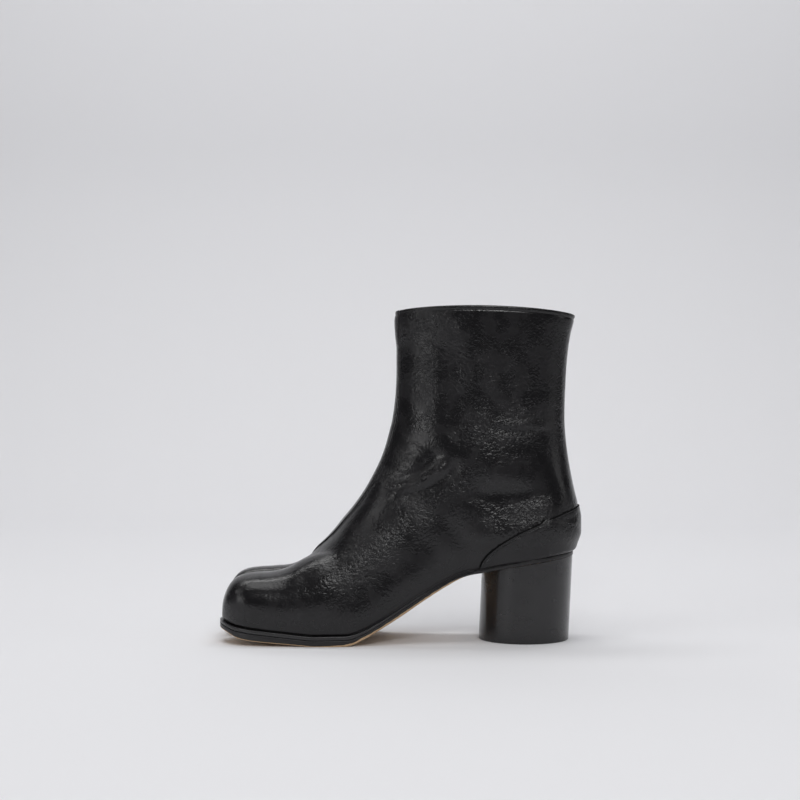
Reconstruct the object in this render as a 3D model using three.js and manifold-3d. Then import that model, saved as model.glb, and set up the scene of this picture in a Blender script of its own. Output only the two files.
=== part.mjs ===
// Split-toe leather ankle boot on a round block heel: the left shoe of a pair.
// Millimetres, +Z up. The toes point to -X, and +Y is the inner (medial) side of the foot.
// The origin lies on the floor, under the middle of the boot's length and width.
import * as THREE from "three";
import { mergeVertices } from "three/addons/utils/BufferGeometryUtils.js";
import Module from "manifold-3d";

const wasm = await Module();
wasm.setup();

// Main sizes of the last
const SHOE_LENGTH = 249; // tip of the sole to the back of the counter
const BALL_WIDTH = 86; // across the sole at the ball
const HEEL_HEIGHT = 59.2; // floor to the underside of the sole at the back of the heel
const HEEL_DIAMETER = 61.3; // the round block
const HEEL_LEAN = 2.8; // how far the top of the block stands behind its foot
const TOE_SPRING = 10.6; // floor to the underside of the sole at the tip
const TOE_HEIGHT = 48; // floor to the top of the toe lobes
const INSTEP_HEIGHT = 91; // floor to the top of the instep
const COLLAR_HEIGHT = 231.5; // floor to the highest point of the collar
const ANKLE_DEPTH = 115.3; // front to back at the ankle
const SHAFT_WIDTH = 60; // across the shaft
const COLLAR_ARCH = 4.9; // how far the collar's sides stand over its ends

// Split toe
const CLEFT_LENGTH = 54; // toe tip to the root of the cleft
const CLEFT_OFFSET = 4.6; // the cleft lies this far to the inner side of the middle
const CLEFT_SLIT = 2; // width of the slit in the sole
const CLEFT_FLARE = 1.4; // how much each side of the slit opens towards the tip
const CLEFT_RISE = 17; // length over which the floor of the cleft rises to the instep
const LOBE_FADE = 46; // length over which the two lobes' tops run into one arch
const TOP_FADE = 115; // length over which the top of the instep comes to the middle

// Leather and sole
const WALL = 2; // upper and lining together
const EDGE_STEP = 1.6; // how far the sole stands out round the forefoot
const SOLE_EDGE = 7.4; // welt and outsole together at the ball
const WELT_THICKNESS = 2.5;
const WELT_WIDTH = 8;
const WELT_END = 0.7; // the welt stops at this share of the length, before the heel
const EDGE_ROUNDING = 0.5; // worn arris of welt, outsole and block
const SEAT_MARGIN = 0.35; // the sole stands out this far round the block
const INSOLE_THICKNESS = 3;
const FRONT_SEAM_RIDGE = 0.7; // raised seam up the middle of the instep and shaft

// Counter panel and closing
const COUNTER_THICKNESS = 1;
const COUNTER_HEIGHT = 31; // height of the panel over the heel seat at the back
const COUNTER_LENGTH = 70.5;
const COUNTER_CURVE = 0.45; // 0.5 is a parabola, and less is a squarer front corner
const WALL_RAMP = 8; // the wall thickens behind the counter over this length
const WALL_RAMP_SLOPE = 1.6; // how steeply the thick part ends ahead of the counter
const PLACKET_WIDTH = 17.5;
const PLACKET_LENGTH = 108;
const PLACKET_THICKNESS = 1.2;
const PLACKET_SETBACK = 21.5; // back of the collar to the near edge of the overlap
const CLASP_COUNT = 5;
const CLASP_LENGTH = 9;
const CLASP_HEIGHT = 7;
const CLASP_THICKNESS = 0.8;
const CLASP_MARGIN = 1; // placket's edge to the clasp
const CLASP_FIRST = 12; // collar to the middle of the first clasp
const CLASP_PITCH = 20;

const GAP = 0.3; // clearance between two pieces that touch on the real boot

// Places along the boot, as shares of its length: 0 is the tip and 1 the back of the counter.
const xAt = (share) => (share - 0.5) * SHOE_LENGTH;
const shareAt = (x) => x / SHOE_LENGTH + 0.5;

// Underside and thickness of the sole. spring is a share of the toe spring, rise of the heel
// height, edge of the sole edge at the ball and welt of the welt's thickness.
const SOLE_PROFILE = [
  { at: 0.0, spring: 1.0, rise: 0, edge: 0.8, welt: 0.85 },
  { at: 0.012, spring: 0.9, rise: 0, edge: 0.82, welt: 0.9 },
  { at: 0.026, spring: 0.76, rise: 0, edge: 0.86, welt: 0.95 },
  { at: 0.046, spring: 0.54, rise: 0, edge: 0.98, welt: 1 },
  { at: 0.074, spring: 0.39, rise: 0, edge: 1.06, welt: 1 },
  { at: 0.12, spring: 0.27, rise: 0, edge: 1.05, welt: 1 },
  { at: 0.18, spring: 0.165, rise: 0, edge: 0.99, welt: 1 },
  { at: 0.228, spring: 0.07, rise: 0, edge: 0.95, welt: 1 },
  { at: 0.262, spring: 0, rise: 0, edge: 0.96, welt: 1 },
  { at: 0.35, spring: 0, rise: 0, edge: 0.99, welt: 1 },
  { at: 0.375, spring: 0, rise: 0.026, edge: 0.93, welt: 0.95 },
  { at: 0.396, spring: 0, rise: 0.066, edge: 0.87, welt: 0.85 },
  { at: 0.444, spring: 0, rise: 0.177, edge: 0.81, welt: 0.7 },
  { at: 0.5, spring: 0, rise: 0.318, edge: 0.83, welt: 0.62 },
  { at: 0.568, spring: 0, rise: 0.504, edge: 0.76, welt: 0.55 },
  { at: 0.62, spring: 0, rise: 0.641, edge: 0.66, welt: 0.5 },
  { at: 0.676, spring: 0, rise: 0.768, edge: 0.48, welt: 0.4 },
  { at: 0.73, spring: 0, rise: 0.821, edge: 0.4, welt: 0.3 },
  { at: 0.791, spring: 0, rise: 0.876, edge: 0.39, welt: 0.3 },
  { at: 0.863, spring: 0, rise: 0.931, edge: 0.39, welt: 0.3 },
  { at: 0.939, spring: 0, rise: 0.98, edge: 0.39, welt: 0.3 },
  { at: 1.0, spring: 0, rise: 1.008, edge: 0.39, welt: 0.3 },
];

// Outline of the sole from above. heel moves the measure from half the ball width (0) to half
// the heel (1); outer and inner are shares of that; step is the edge step, minus where the
// upper overhangs; bevel and lift shape the lower edge, as shares of the sole edge.
const SOLE_OUTLINE = [
  { at: 0.0, heel: 0, outer: 0.8, inner: 0.79, step: 1, bevel: 0.12, lift: 0.12 },
  { at: 0.06, heel: 0, outer: 0.888, inner: 0.88, step: 1, bevel: 0.12, lift: 0.12 },
  { at: 0.13, heel: 0, outer: 0.953, inner: 0.948, step: 1, bevel: 0.12, lift: 0.12 },
  { at: 0.2, heel: 0, outer: 0.985, inner: 0.992, step: 1, bevel: 0.12, lift: 0.12 },
  { at: 0.25, heel: 0, outer: 0.997, inner: 1, step: 1, bevel: 0.12, lift: 0.12 },
  { at: 0.29, heel: 0, outer: 1, inner: 0.993, step: 1, bevel: 0.12, lift: 0.12 },
  { at: 0.345, heel: 0.03, outer: 0.992, inner: 0.958, step: 0.98, bevel: 0.18, lift: 0.15 },
  { at: 0.41, heel: 0.12, outer: 0.955, inner: 0.885, step: 0.85, bevel: 0.35, lift: 0.22 },
  { at: 0.48, heel: 0.3, outer: 0.888, inner: 0.782, step: 0.4, bevel: 0.5, lift: 0.3 },
  { at: 0.56, heel: 0.5, outer: 0.796, inner: 0.665, step: -0.6, bevel: 0.5, lift: 0.3 },
  { at: 0.64, heel: 0.7, outer: 0.748, inner: 0.628, step: -1.4, bevel: 0.4, lift: 0.22 },
  { at: 0.71, heel: 0.85, outer: 0.805, inner: 0.725, step: -1.3, bevel: 0.2, lift: 0.12 },
  { at: 0.77, heel: 1, outer: 0.925, inner: 0.89, step: -0.9, bevel: 0.08, lift: 0.06 },
];
const HEEL_BACK = 0.9772; // back of the block's top, as a share of the length
const HEEL_STEP = -0.45; // the upper stands out this many edge steps over the seat
const SEAT_BEVEL = 0.06; // lower edge of the sole round the heel, as a share of the sole edge

// Stations of the upper. Each one is a slice through the last, from a point below or behind it
// to a point above or in front. Up to the heel, foot gives the low point on the feather line,
// as a share of the length; on the back seam, up gives its height as a share of the way from
// the seat to the collar. run places the high point: 0 toe tip, 1 root of the cleft, 2 front of
// the shaft. level is its height: 0 feather, 1 toe top, 2 instep, 3 collar. shaft moves the
// measure of width from the footprint (0) to the shaft (1, on the back where none is given), and
// outer, inner or both are shares of it. wide is the height of the widest place as a share of
// the slice, low and high are the roundness below and above it, arch is the share of the
// collar's arch, and steps is the number of slices up to the next row, or 1.
const FOOT_ROUNDNESS = 2; // low, where a row of the foot gives none
const BACK_ROUNDNESS = 2.45; // low, where a row of the back seam gives none
const STATIONS = [
  { foot: 0.0105, run: 0.0, level: 0, both: 1, wide: 0.4, high: 2.6 },
  { foot: 0.0132, run: 0.001, level: 0.2, both: 1.0, wide: 0.4, high: 2.6 },
  { foot: 0.021, run: 0.008, level: 0.36, both: 1.004, wide: 0.4, high: 2.6 },
  { foot: 0.034, run: 0.034, level: 0.53, both: 1.008, wide: 0.4, high: 2.6 },
  { foot: 0.052, run: 0.083, level: 0.71, both: 1.012, wide: 0.4, high: 2.5 },
  { foot: 0.075, run: 0.16, level: 0.86, both: 1.016, wide: 0.4, high: 2.4 },
  { foot: 0.1, run: 0.275, level: 0.95, both: 1.02, wide: 0.4, high: 2.3 },
  { foot: 0.13, run: 0.45, level: 0.992, both: 1.022, wide: 0.38, high: 2.2 },
  { foot: 0.162, run: 0.64, level: 1.01, both: 1.025, wide: 0.37, high: 2.1 },
  { foot: 0.194, run: 0.81, level: 1.06, both: 1.028, wide: 0.36, high: 2.05, steps: 2 },
  { foot: 0.226, run: 0.965, level: 1.16, both: 1.03, wide: 0.35, high: 2, steps: 2 },
  { foot: 0.258, run: 1.09, level: 1.275, both: 1.03, wide: 0.34, high: 1.95 },
  { foot: 0.298, run: 1.212, level: 1.425, both: 1.03, wide: 0.33, high: 1.9 },
  { foot: 0.35, run: 1.33, level: 1.61, outer: 1.035, inner: 1.045, wide: 0.32, high: 1.88, steps: 2 },
  { foot: 0.412, run: 1.447, level: 1.836, outer: 1.055, inner: 1.075, wide: 0.32, high: 1.85, steps: 2 },
  { foot: 0.484, run: 1.552, level: 2.01, outer: 1.1, inner: 1.15, wide: 0.33, high: 1.85, steps: 2 },
  { foot: 0.568, run: 1.67, level: 2.09, outer: 1.165, inner: 1.28, wide: 0.35, high: 1.85, steps: 2 },
  { foot: 0.66, run: 1.77, level: 2.174, outer: 1.18, inner: 1.3, wide: 0.38, high: 1.86, steps: 2 },
  { foot: 0.756, run: 1.846, level: 2.25, outer: 1.085, inner: 1.13, wide: 0.41, high: 1.88, steps: 2 },
  { foot: 0.852, run: 1.895, level: 2.317, both: 1.025, wide: 0.43, high: 1.9 },
  { foot: 0.922, run: 1.922, level: 2.364, both: 1.028, wide: 0.44, low: 2.05, high: 1.9 },
  { foot: 0.963, run: 1.94, level: 2.397, both: 1.03, wide: 0.45, low: 2.2, high: 1.9 },
  { corner: true, shaft: 0, run: 1.953, level: 2.42, both: 1.03, wide: 0.45, high: 1.9 },
  { back: 0.9908, up: 0.03, run: 1.961, level: 2.438, shaft: 0.05, both: 1.03, wide: 0.45, high: 1.9 },
  { back: 1.0, up: 0.078, run: 1.968, level: 2.46, shaft: 0.12, both: 1.03, wide: 0.45, high: 1.9 },
  { back: 1.0, up: 0.135, run: 1.976, level: 2.483, shaft: 0.25, both: 1.025, wide: 0.455, high: 1.9 },
  { back: 0.993, up: 0.187, run: 1.982, level: 2.506, shaft: 0.4, both: 1.015, wide: 0.46, high: 2.0 },
  { back: 0.9815, up: 0.253, run: 1.988, level: 2.531, shaft: 0.6, both: 1.0, wide: 0.465, high: 2 },
  { back: 0.9695, up: 0.336, run: 1.994, level: 2.56, shaft: 0.8, both: 0.985, wide: 0.47, high: 2 },
  { back: 0.959, up: 0.434, run: 1.998, level: 2.595, both: 0.975, wide: 0.47, high: 2.05 },
  { back: 0.9532, up: 0.548, run: 2.003, level: 2.642, both: 0.965, wide: 0.47, high: 2.05 },
  { back: 0.9552, up: 0.672, run: 2.005, level: 2.706, both: 0.968, wide: 0.47, high: 2.05 },
  { back: 0.9608, up: 0.796, run: 2.005, level: 2.784, both: 0.98, wide: 0.47, high: 2.05, arch: 0.1 },
  { back: 0.9696, up: 0.885, run: 1.99, level: 2.862, both: 1.0, wide: 0.47, high: 2.05, arch: 0.35 },
  { back: 0.9776, up: 0.928, run: 1.983, level: 2.922, both: 1.008, wide: 0.47, high: 2.05, arch: 0.75 },
  { back: 0.9832, up: 0.962, run: 2.0, level: 2.976, both: 1.005, wide: 0.47, high: 2.05, arch: 1 },
];

// Places round one half of a slice, from the feather line (0) over the widest place to the
// middle of the top (1), where the two halves meet. The last ones edge the raised seam.
const WIDEST = 0.3;
const LOBE_CREST = 0.62;
const AROUND = [
  0, 0.04, 0.09, 0.15, 0.22, 0.3, 0.38, 0.46, 0.54, 0.62, 0.69, 0.77, 0.85, 0.91, 0.92, 0.96, 1,
];
const SEAM_EDGE = 0.915; // the raised seam starts past this place

// Shape of the two toe lobes seen from above
const LOBE_ROUNDNESS = 2.25;
const TIP_PLACE = { outer: 0.42, inner: 0.5 }; // foremost point, as a share of the lobe's width
const OUTER_ROUNDING = { outer: 24, inner: 19 }; // length of the curve to the outside
const INNER_ROUNDING = { outer: 11, inner: 11 }; // length of the curve into the cleft
const CREST_PLACE = { outer: 0.42, inner: 0.46 }; // highest point, from the cleft outwards
const CLEFT_WALL_ROUNDNESS = 4;
const CLEFT_RISE_POWER = 2.4; // how fast the floor of the cleft comes up behind its root
const INNER_SINK = 0.055; // the big toe's lobe is this share lower at the root of the cleft

// Fineness of the meshes
const SLICE_STEP = 0.025; // share of the length between two slices of a flat piece
const TIP_ANGLES = [4, 9, 15, 22, 30, 39, 48, 57, 66, 75, 84]; // slices round the toe, degrees
const BACK_ANGLES = [18, 34, 47, 58, 67, 74, 80, 85]; // slices round the heel
const SLIT_SHARES = [0, 0.01, 0.04, 0.09, 0.16, 0.3, 0.5, 0.7, 0.86, 0.93, 0.96, 0.98, 0.993, 1];
const ROOT_STEPS = [-3.4, -2.2, -1, -0.3, 2, 5, 9, 13]; // slices round the root of the cleft
const ROOT_CLEARANCE = 1.3; // the usual slices keep this far from those
const SEAM_SHARES = [0, 0.006, 0.02, 0.05, 0.1, 0.18, 0.3, 0.45, 0.62, 0.8, 1, 1.2];
const BLOCK_SIDES = 56;
const BLOCK_RINGS = [1, 0.66, 0.33]; // rings of the block's top, as shares of its radius

// Plain helpers

const clamp = (v, low, high) => Math.min(high, Math.max(low, v));
const mix = (a, b, t) => a + (b - a) * t;
const smooth = (t) => {
  const c = clamp(t, 0, 1);
  return c * c * (3 - 2 * c);
};

// A smooth curve through the rows' values of one column, by cubic pieces whose slope at a row
// is the mean of the slopes on both sides, weighted by distance, or level at a turning point.
function slopes(at, value) {
  const n = at.length;
  const secant = (i) => (value[i + 1] - value[i]) / (at[i + 1] - at[i]);
  return value.map((_, i) => {
    if (i === 0) return secant(0);
    if (i === n - 1) return secant(n - 2);
    const before = at[i] - at[i - 1];
    const after = at[i + 1] - at[i];
    if (secant(i - 1) * secant(i) <= 0) return 0;
    return (secant(i - 1) * after + secant(i) * before) / (before + after);
  });
}

function curve(at, value) {
  const slope = slopes(at, value);
  return (p) => {
    let i = 0;
    while (i < at.length - 2 && p > at[i + 1]) i++;
    const d = at[i + 1] - at[i];
    const t = clamp((p - at[i]) / d, 0, 1);
    const t2 = t * t;
    const t3 = t2 * t;
    return (
      (2 * t3 - 3 * t2 + 1) * value[i] +
      (t3 - 2 * t2 + t) * d * slope[i] +
      (3 * t2 - 2 * t3) * value[i + 1] +
      (t3 - t2) * d * slope[i + 1]
    );
  };
}

const columnOf = (rows, name) =>
  curve(
    rows.map((row) => row.at),
    rows.map((row) => row[name]),
  );

// Solids and meshes

// The same triangles with shared corners, and with nothing but positions
function merged(geometry) {
  const plain = new THREE.BufferGeometry();
  const loose = geometry.index ? geometry.toNonIndexed() : geometry;
  plain.setAttribute("position", loose.attributes.position);
  return mergeVertices(plain, 1e-4);
}

function geometryFrom(positions) {
  const geometry = new THREE.BufferGeometry();
  geometry.setAttribute("position", new THREE.Float32BufferAttribute(positions, 3));
  return geometry;
}

function solidOf(geometry) {
  const joined = merged(geometry);
  const index = [];
  const source = joined.index.array;
  for (let i = 0; i < source.length; i += 3) {
    const [a, b, c] = [source[i], source[i + 1], source[i + 2]];
    if (a !== b && b !== c && a !== c) index.push(a, b, c);
  }
  const build = (triVerts) =>
    new wasm.Manifold(
      new wasm.Mesh({
        numProp: 3,
        vertProperties: joined.attributes.position.array,
        triVerts: new Uint32Array(triVerts),
      }),
    );
  const solid = build(index);
  if (solid.volume() >= 0) return solid;
  return build(index.reverse());
}

function geometryOf(solid) {
  const mesh = solid.getMesh();
  const position = new Float32Array(mesh.numVert * 3);
  for (let i = 0; i < mesh.numVert; i++) {
    for (let k = 0; k < 3; k++) position[3 * i + k] = mesh.vertProperties[i * mesh.numProp + k];
  }
  const geometry = new THREE.BufferGeometry();
  geometry.setAttribute("position", new THREE.BufferAttribute(position, 3));
  geometry.setIndex(new THREE.BufferAttribute(new Uint32Array(mesh.triVerts), 1));
  geometry.computeVertexNormals();
  return geometry;
}

const boot = new THREE.Group();

function addPiece(name, solid, finish) {
  const material = new THREE.MeshStandardMaterial(finish);
  const mesh = new THREE.Mesh(geometryOf(solid), material);
  mesh.name = name;
  boot.add(mesh);
}

// Four corners in turn, as two triangles
function quad(out, a, b, c, d) {
  out.push(...a, ...b, ...c, ...a, ...c, ...d);
}

// A solid through rings of points. A ring that has shrunk to a line or point needs no cap.
// The rings are convex, so a cap is a fan from their first point.
function loft(rings, capEnds) {
  const out = [];
  const n = rings[0].length;
  for (let j = 0; j + 1 < rings.length; j++) {
    for (let i = 0; i < n; i++) {
      const next = (i + 1) % n;
      quad(out, rings[j][i], rings[j + 1][i], rings[j + 1][next], rings[j][next]);
    }
  }
  const [first, last] = [rings[0], rings[rings.length - 1]];
  for (let i = 1; i + 1 < n; i++) {
    if (capEnds[0]) out.push(...first[0], ...first[i], ...first[i + 1]);
    if (capEnds[1]) out.push(...last[0], ...last[i + 1], ...last[i]);
  }
  return solidOf(geometryFrom(out));
}

// An upright prism over a closed line of [x, y] points
function planPrism(points, low, high) {
  const shape = new THREE.Shape(points.map(([x, y]) => new THREE.Vector2(x, y)));
  const geometry = new THREE.ExtrudeGeometry(shape, { depth: high - low, bevelEnabled: false });
  return solidOf(geometry.translate(0, 0, low));
}

// A prism across the boot behind a closed line of [x, z] points
function sidePrism(points, fromY, toY) {
  const shape = new THREE.Shape(points.map(([x, z]) => new THREE.Vector2(x, z)));
  const geometry = new THREE.ExtrudeGeometry(shape, { depth: toY - fromY, bevelEnabled: false });
  return solidOf(geometry.rotateX(Math.PI / 2).translate(0, toY, 0));
}

// Lines of the sole

const column = {};
for (const name of ["spring", "rise", "edge", "welt"]) {
  column[name] = columnOf(SOLE_PROFILE, name);
}
const undersideZ = (x) =>
  TOE_SPRING * column.spring(shareAt(x)) + HEEL_HEIGHT * column.rise(shareAt(x));
const featherZ = (x) => undersideZ(x) + SOLE_EDGE * column.edge(shareAt(x));
const weltTopZ = (x) => featherZ(x) - GAP;
const weltBottomZ = (x) => weltTopZ(x) - WELT_THICKNESS * column.welt(shareAt(x));

const HEEL_RADIUS = HEEL_DIAMETER / 2;
const heelCentreX = xAt(HEEL_BACK) - HEEL_RADIUS;
const seatShare = (HEEL_RADIUS + SEAT_MARGIN) / HEEL_RADIUS;
const outlineRows = [
  ...SOLE_OUTLINE,
  {
    at: shareAt(heelCentreX),
    heel: 1,
    outer: seatShare,
    inner: seatShare,
    step: HEEL_STEP,
    bevel: SEAT_BEVEL,
    lift: SEAT_BEVEL,
  },
];
const outline = {};
for (const name of ["heel", "outer", "inner", "step", "bevel", "lift"]) {
  outline[name] = columnOf(outlineRows, name);
}

// Half-width of the sole on one side, before its ends are rounded
function bareHalf(x, side) {
  const share = shareAt(Math.min(x, heelCentreX));
  return outline[side](share) * mix(BALL_WIDTH / 2, HEEL_RADIUS, outline.heel(share));
}
const edgeStep = (x) => EDGE_STEP * outline.step(shareAt(Math.min(x, heelCentreX)));
const signOf = (side) => (side === "outer" ? -1 : 1);

// The cleft: its middle line, and one side of it at a given inset from the sole's own edge
const toeX = xAt(0);
const cleftRootX = toeX + EDGE_STEP + CLEFT_LENGTH;
function cleftHalf(x, inset) {
  const end = cleftRootX - EDGE_STEP + inset;
  const flare = CLEFT_FLARE * clamp((end - x) / CLEFT_LENGTH, 0, 1);
  const half = CLEFT_SLIT / 2 + inset + flare;
  const into = clamp((x - (end - half)) / half, 0, 1);
  return half * Math.sqrt(1 - into * into);
}

// Foremost point of a lobe, and both edges of a lobe as signed Y
const tipY = (side) => {
  const x = toeX + OUTER_ROUNDING[side];
  const inside = CLEFT_OFFSET + (signOf(side) * CLEFT_SLIT) / 2;
  return mix(inside, signOf(side) * bareHalf(x, side), TIP_PLACE[side]);
};
function rounded(x, length, inset) {
  const into = 1 - clamp((x - toeX - inset) / length, 0, 1);
  return (1 - into ** LOBE_ROUNDNESS) ** (1 / LOBE_ROUNDNESS);
}
function outerEdge(x, side, inset) {
  const bare = signOf(side) * (bareHalf(x, side) - inset);
  if (x > heelCentreX) {
    const radius = Math.abs(bare);
    const into = clamp((x - heelCentreX) / radius, 0, 1);
    return bare * Math.sqrt(1 - into * into);
  }
  return mix(tipY(side), bare, rounded(x, OUTER_ROUNDING[side], inset));
}
function innerEdge(x, side, inset) {
  const bare = CLEFT_OFFSET + signOf(side) * cleftHalf(x, inset);
  return mix(tipY(side), bare, rounded(x, INNER_ROUNDING[side], inset));
}

// Where the slices of a flat piece lie. All pieces share them, so that their faces stay
// parallel: close together at the round ends, and a step of the length between.
const degrees = (a) => (a * Math.PI) / 180;
function slicesBetween(from, to, tipInset, backInset) {
  const front = OUTER_ROUNDING.outer;
  const tip = TIP_ANGLES.map((a) => toeX + front * (1 - Math.cos(degrees(a))));
  const radius = bareHalf(heelCentreX, "outer");
  const back = BACK_ANGLES.map((a) => heelCentreX + radius * Math.sin(degrees(a)));
  const between = [];
  for (let share = 0; share < 1; share += SLICE_STEP) between.push(xAt(share));
  const apart = 2; // no closer than this to the round ends
  const middle = between.filter((x) => x > toeX + front + apart && x < heelCentreX - apart);
  const start = Math.max(from, toeX + tipInset);
  const end = Math.min(to, heelCentreX + radius - backInset);
  const all = [...tip, ...middle, heelCentreX, ...back];
  const inside = all.filter((x) => x > start + GAP && x < end - GAP);
  return { places: [start, ...inside, end], endsRound: to > heelCentreX };
}

// The slit between the lobes, as a prism that cuts flat pieces
function slitPrism(inset) {
  const tip = toeX + inset;
  const end = cleftRootX - EDGE_STEP + inset;
  const xs = SLIT_SHARES.map((t) => mix(tip, end, t));
  const outer = xs.map((x) => [x, innerEdge(x, "outer", inset)]);
  const inner = xs.map((x) => [x, innerEdge(x, "inner", inset)]).reverse();
  const before = tip - 4 * EDGE_STEP;
  const points = [[before, tipY("outer")], ...outer, ...inner.slice(1), [before, tipY("inner")]];
  return planPrism(points, -SHOE_LENGTH, SHOE_LENGTH);
}

// A flat piece of the bottom: sections across the boot, then the slit cut from it. insetOf is
// the inset from the sole's own edge, topZ and lowZ its faces, and edge its lower corner.
function bottomPiece({ from, to, insetOf, topZ, lowZ, edgeOf }) {
  const { places, endsRound } = slicesBetween(from, to, insetOf(toeX), insetOf(heelCentreX));
  const rings = places.map((x) => {
    const inset = insetOf(x);
    const outer = outerEdge(x, "outer", inset);
    const inner = outerEdge(x, "inner", inset);
    const width = inner - outer;
    const { bevel, lift } = edgeOf(x);
    const [top, low] = [topZ(x), lowZ(x)];
    const round = Math.min(EDGE_ROUNDING, (top - low) / 4, width / 4);
    const under = Math.min(bevel, width / 4);
    const raise = Math.min(lift, (top - low) / 2) * (bevel > 0 ? under / bevel : 0);
    const middle = (outer + inner) / 2;
    return [
      [x, middle, top],
      [x, outer + round, top],
      [x, outer, top - round],
      [x, outer, low + raise],
      [x, outer + under, low],
      [x, middle, low],
      [x, inner - under, low],
      [x, inner, low + raise],
      [x, inner, top - round],
      [x, inner - round, top],
    ];
  });
  return loft(rings, [true, !endsRound]).subtract(slitPrism(insetOf(toeX)));
}
const roundedEdge = () => ({ bevel: EDGE_ROUNDING, lift: EDGE_ROUNDING });

// Welt, outsole and insole

const weltEndX = xAt(WELT_END);
const wholeLength = { from: toeX, to: xAt(1) };
const BLACK_EDGE = { color: 0x17161a, roughness: 0.42, metalness: 0 };

function makeWelt() {
  const strip = bottomPiece({
    from: toeX,
    to: weltEndX,
    insetOf: () => 0,
    topZ: weltTopZ,
    lowZ: weltBottomZ,
    edgeOf: roundedEdge,
  });
  const hole = bottomPiece({
    from: toeX,
    to: weltEndX + WELT_WIDTH,
    insetOf: () => WELT_WIDTH,
    topZ: (x) => weltTopZ(x) + WELT_THICKNESS,
    lowZ: (x) => weltBottomZ(x) - WELT_THICKNESS,
    edgeOf: () => ({ bevel: 0, lift: 0 }),
  });
  return strip.subtract(hole);
}

function makeOutsole() {
  const blank = bottomPiece({
    ...wholeLength,
    insetOf: () => 0,
    topZ: weltTopZ,
    lowZ: undersideZ,
    edgeOf: (x) => {
      const share = shareAt(Math.min(x, heelCentreX));
      return { bevel: SOLE_EDGE * outline.bevel(share), lift: SOLE_EDGE * outline.lift(share) };
    },
  });
  const rebate = bottomPiece({
    from: toeX,
    to: weltEndX + GAP,
    insetOf: () => -2 * EDGE_STEP,
    topZ: (x) => weltTopZ(x) + WELT_THICKNESS,
    lowZ: (x) => weltBottomZ(x) - GAP,
    edgeOf: () => ({ bevel: 0, lift: 0 }),
  });
  return blank.subtract(rebate.add(slitFiller()));
}

// The rebate also runs across the slit, which the flat piece itself leaves open.
function slitFiller() {
  const half = CLEFT_SLIT + CLEFT_FLARE + 4 * EDGE_STEP;
  const places = slicesBetween(toeX, cleftRootX + 4 * EDGE_STEP, -2 * EDGE_STEP, 0).places;
  const rings = places.map((x) => {
    const [top, low] = [weltTopZ(x) + WELT_THICKNESS, weltBottomZ(x) - GAP];
    const [outer, inner] = [tipY("outer") - half, tipY("inner") + half];
    return [[x, outer, top], [x, outer, low], [x, inner, low], [x, inner, top]];
  });
  return loft(rings, [true, true]);
}

const counterFrontX = xAt(1) - COUNTER_LENGTH;
// The wall gets thicker over WALL_RAMP, ahead of the counter and above its seam.
const insoleInset = (x) => {
  const ahead = smooth((x - counterFrontX + 2 * WALL_RAMP) / WALL_RAMP);
  return edgeStep(x) + WALL + (COUNTER_THICKNESS + 2 * GAP) * ahead + 2 * GAP;
};

function makeInsole() {
  return bottomPiece({
    ...wholeLength,
    insetOf: insoleInset,
    topZ: (x) => featherZ(x) + INSOLE_THICKNESS,
    lowZ: featherZ,
    edgeOf: roundedEdge,
  });
}

// The block: a leaning round whose top follows the seat
function makeHeelBlock() {
  const footX = heelCentreX - HEEL_LEAN;
  const centreAt = (z) => footX + (HEEL_LEAN * z) / HEEL_HEIGHT;
  const circle = (radius, heightAt) =>
    Array.from({ length: BLOCK_SIDES }, (_, k) => {
      const angle = (2 * Math.PI * k) / BLOCK_SIDES;
      let z = HEEL_HEIGHT;
      for (let pass = 0; pass < 4; pass++) z = heightAt(centreAt(z) + radius * Math.cos(angle));
      return [centreAt(z) + radius * Math.cos(angle), radius * Math.sin(angle), z];
    });
  const seat = (x) => undersideZ(x) - GAP;
  const rings = [
    circle(HEEL_RADIUS - EDGE_ROUNDING, () => 0),
    circle(HEEL_RADIUS, () => EDGE_ROUNDING),
    ...BLOCK_RINGS.map((share) => circle(HEEL_RADIUS * share, seat)),
  ];
  const out = [];
  for (let j = 0; j + 1 < rings.length; j++) {
    for (let i = 0; i < BLOCK_SIDES; i++) {
      const next = (i + 1) % BLOCK_SIDES;
      quad(out, rings[j][i], rings[j][next], rings[j + 1][next], rings[j + 1][i]);
    }
  }
  const foot = [footX, 0, 0];
  const crown = [centreAt(seat(heelCentreX)), 0, seat(centreAt(seat(heelCentreX)))];
  const lowest = rings[0];
  const highest = rings[rings.length - 1];
  for (let i = 0; i < BLOCK_SIDES; i++) {
    const next = (i + 1) % BLOCK_SIDES;
    out.push(...foot, ...lowest[next], ...lowest[i]);
    out.push(...crown, ...highest[i], ...highest[next]);
  }
  return solidOf(geometryFrom(out));
}

// The upper's surface

const upperTipX = toeX + EDGE_STEP;
const shaftFrontX = xAt(0.9532) - ANKLE_DEPTH;
const upperInset = (x) => edgeStep(x);
const upperHeelBackX = heelCentreX + bareHalf(heelCentreX, "outer") - upperInset(heelCentreX);
const seatZ = featherZ(upperHeelBackX);

function highPoint({ run, level }) {
  const x = run <= 1 ? mix(upperTipX, cleftRootX, run) : mix(cleftRootX, shaftFrontX, run - 1);
  const heights = [featherZ(upperTipX), TOE_HEIGHT, INSTEP_HEIGHT, COLLAR_HEIGHT];
  const tier = clamp(Math.floor(level), 0, 2);
  return [x, mix(heights[tier], heights[tier + 1], level - tier)];
}

function lowPoint(row) {
  if (row.corner) return [upperHeelBackX, seatZ];
  if (row.foot !== undefined) {
    const x = row === STATIONS[0] ? upperTipX : Math.max(xAt(row.foot), upperTipX);
    return [x, featherZ(x)];
  }
  return [xAt(row.back), mix(seatZ, COLLAR_HEIGHT, row.up)];
}

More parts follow.
